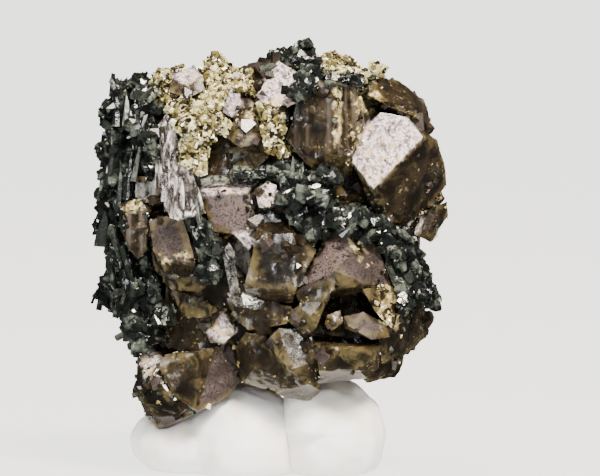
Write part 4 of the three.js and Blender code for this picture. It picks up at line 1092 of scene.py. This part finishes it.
# %% Pale sweep
SWEEP_SIDE, SWEEP_RISE, SWEEP_BEND = 4, 1.6, 0.6
bpy.ops.object.select_all(action="DESELECT")
bpy.ops.mesh.primitive_plane_add(size=SWEEP_SIDE, location=(0, 0, 0))
sweep = bpy.context.active_object
sweep.name = "pale_sweep"
bpy.ops.object.mode_set(mode="EDIT")
bpy.ops.mesh.select_all(action="DESELECT")
bpy.ops.object.mode_set(mode="OBJECT")
for edge in sweep.data.edges:
    edge.select = all(sweep.data.vertices[v].co.y > 1 for v in edge.vertices)
bpy.ops.object.mode_set(mode="EDIT")
bpy.ops.mesh.select_mode(type="EDGE")
bpy.ops.mesh.extrude_region_move(TRANSFORM_OT_translate={"value": (0, 0, SWEEP_RISE)})
bpy.ops.object.mode_set(mode="OBJECT")
finish_modifier(sweep, "BEVEL", width=SWEEP_BEND, segments=16, limit_method="ANGLE")
only(sweep)
bpy.ops.object.shade_smooth()
paper, tree, where = new_finish("pale_sweep_paper")
shader = add(tree, "ShaderNodeBsdfPrincipled", {
    "Base Color": linear("#6f6e6c"), "Roughness": 0.9, "Emission Color": linear("#e3e2df"),
    "Emission Strength": 3.1,
})
add(tree, "ShaderNodeOutputMaterial", {"Surface": shader.outputs[0]})
sweep.data.materials.append(paper)
sweep.visible_glossy = False
print("sweep in m", [round(side, 2) for side in sweep.dimensions])

# %% [markdown]
# Small crystals live from reflections. A broad key from above and to the right whitens the faces that
# look up, a soft light fills from the left, a third one stands nearly straight above, and one small
# light in front makes the points of light. The key and the top light are a little warm.

# %% Lights and world
LAMPS = [  # name, place and width in metres, power in watts, and colour
    ("key", (0.15, -0.32, 0.42), 0.15, 10.4, "#fff1e0"),
    ("fill", (-0.45, -0.35, 0.20), 0.22, 1.6, "#ffffff"),
    ("top", (-0.08, -0.02, 0.50), 0.22, 3.6, "#fff1e0"),
    ("spark", (0.10, -0.5, 0.16), 0.04, 0.8, "#ffffff"),
]
LIT_MIDDLE = Vector((0, 0, 0.02))
for name, place, width, power, colour in LAMPS:
    lamp = bpy.data.lights.new(name, "AREA")
    lamp.shape = "SQUARE"
    lamp.size = width
    lamp.energy = power
    lamp.color = linear(colour)[:3]
    stand = bpy.data.objects.new(name, lamp)
    bpy.context.collection.objects.link(stand)
    stand.location = place
    stand.rotation_euler = (LIT_MIDDLE - Vector(place)).to_track_quat("-Z", "Y").to_euler()
world = bpy.data.worlds.new("pale_room")
bpy.context.scene.world = world
world.use_nodes = True
world.node_tree.nodes["Background"].inputs["Color"].default_value = linear("#e3e2df")
world.node_tree.nodes["Background"].inputs["Strength"].default_value = 0.08
print("lamps in watts", {name: power for name, place, width, power, colour in LAMPS})

# %% [markdown]
# The camera stands 600 mm in front and looks down by 4 degrees. Its lens takes in 54.5 mm of width at
# the specimen, which leaves a little air around it.

# %% Camera
CAMERA_DISTANCE, SEEN_WIDTH, SENSOR = 600, 54.54, 36
AIM = Vector((2.5, -5.0, 21.36 + 5.0 * VIEW_SLOPE)) * MM
lens = bpy.data.cameras.new("front_camera")
lens.sensor_width = SENSOR
lens.lens = SENSOR * CAMERA_DISTANCE / SEEN_WIDTH
camera = bpy.data.objects.new("front_camera", lens)
bpy.context.collection.objects.link(camera)
backwards = Vector((0, -math.cos(VIEW_DOWN), math.sin(VIEW_DOWN)))
camera.location = AIM + backwards * CAMERA_DISTANCE * MM
camera.rotation_euler = (math.radians(90) - VIEW_DOWN, 0, 0)
bpy.context.scene.camera = camera
print("lens in mm", round(lens.lens, 1))
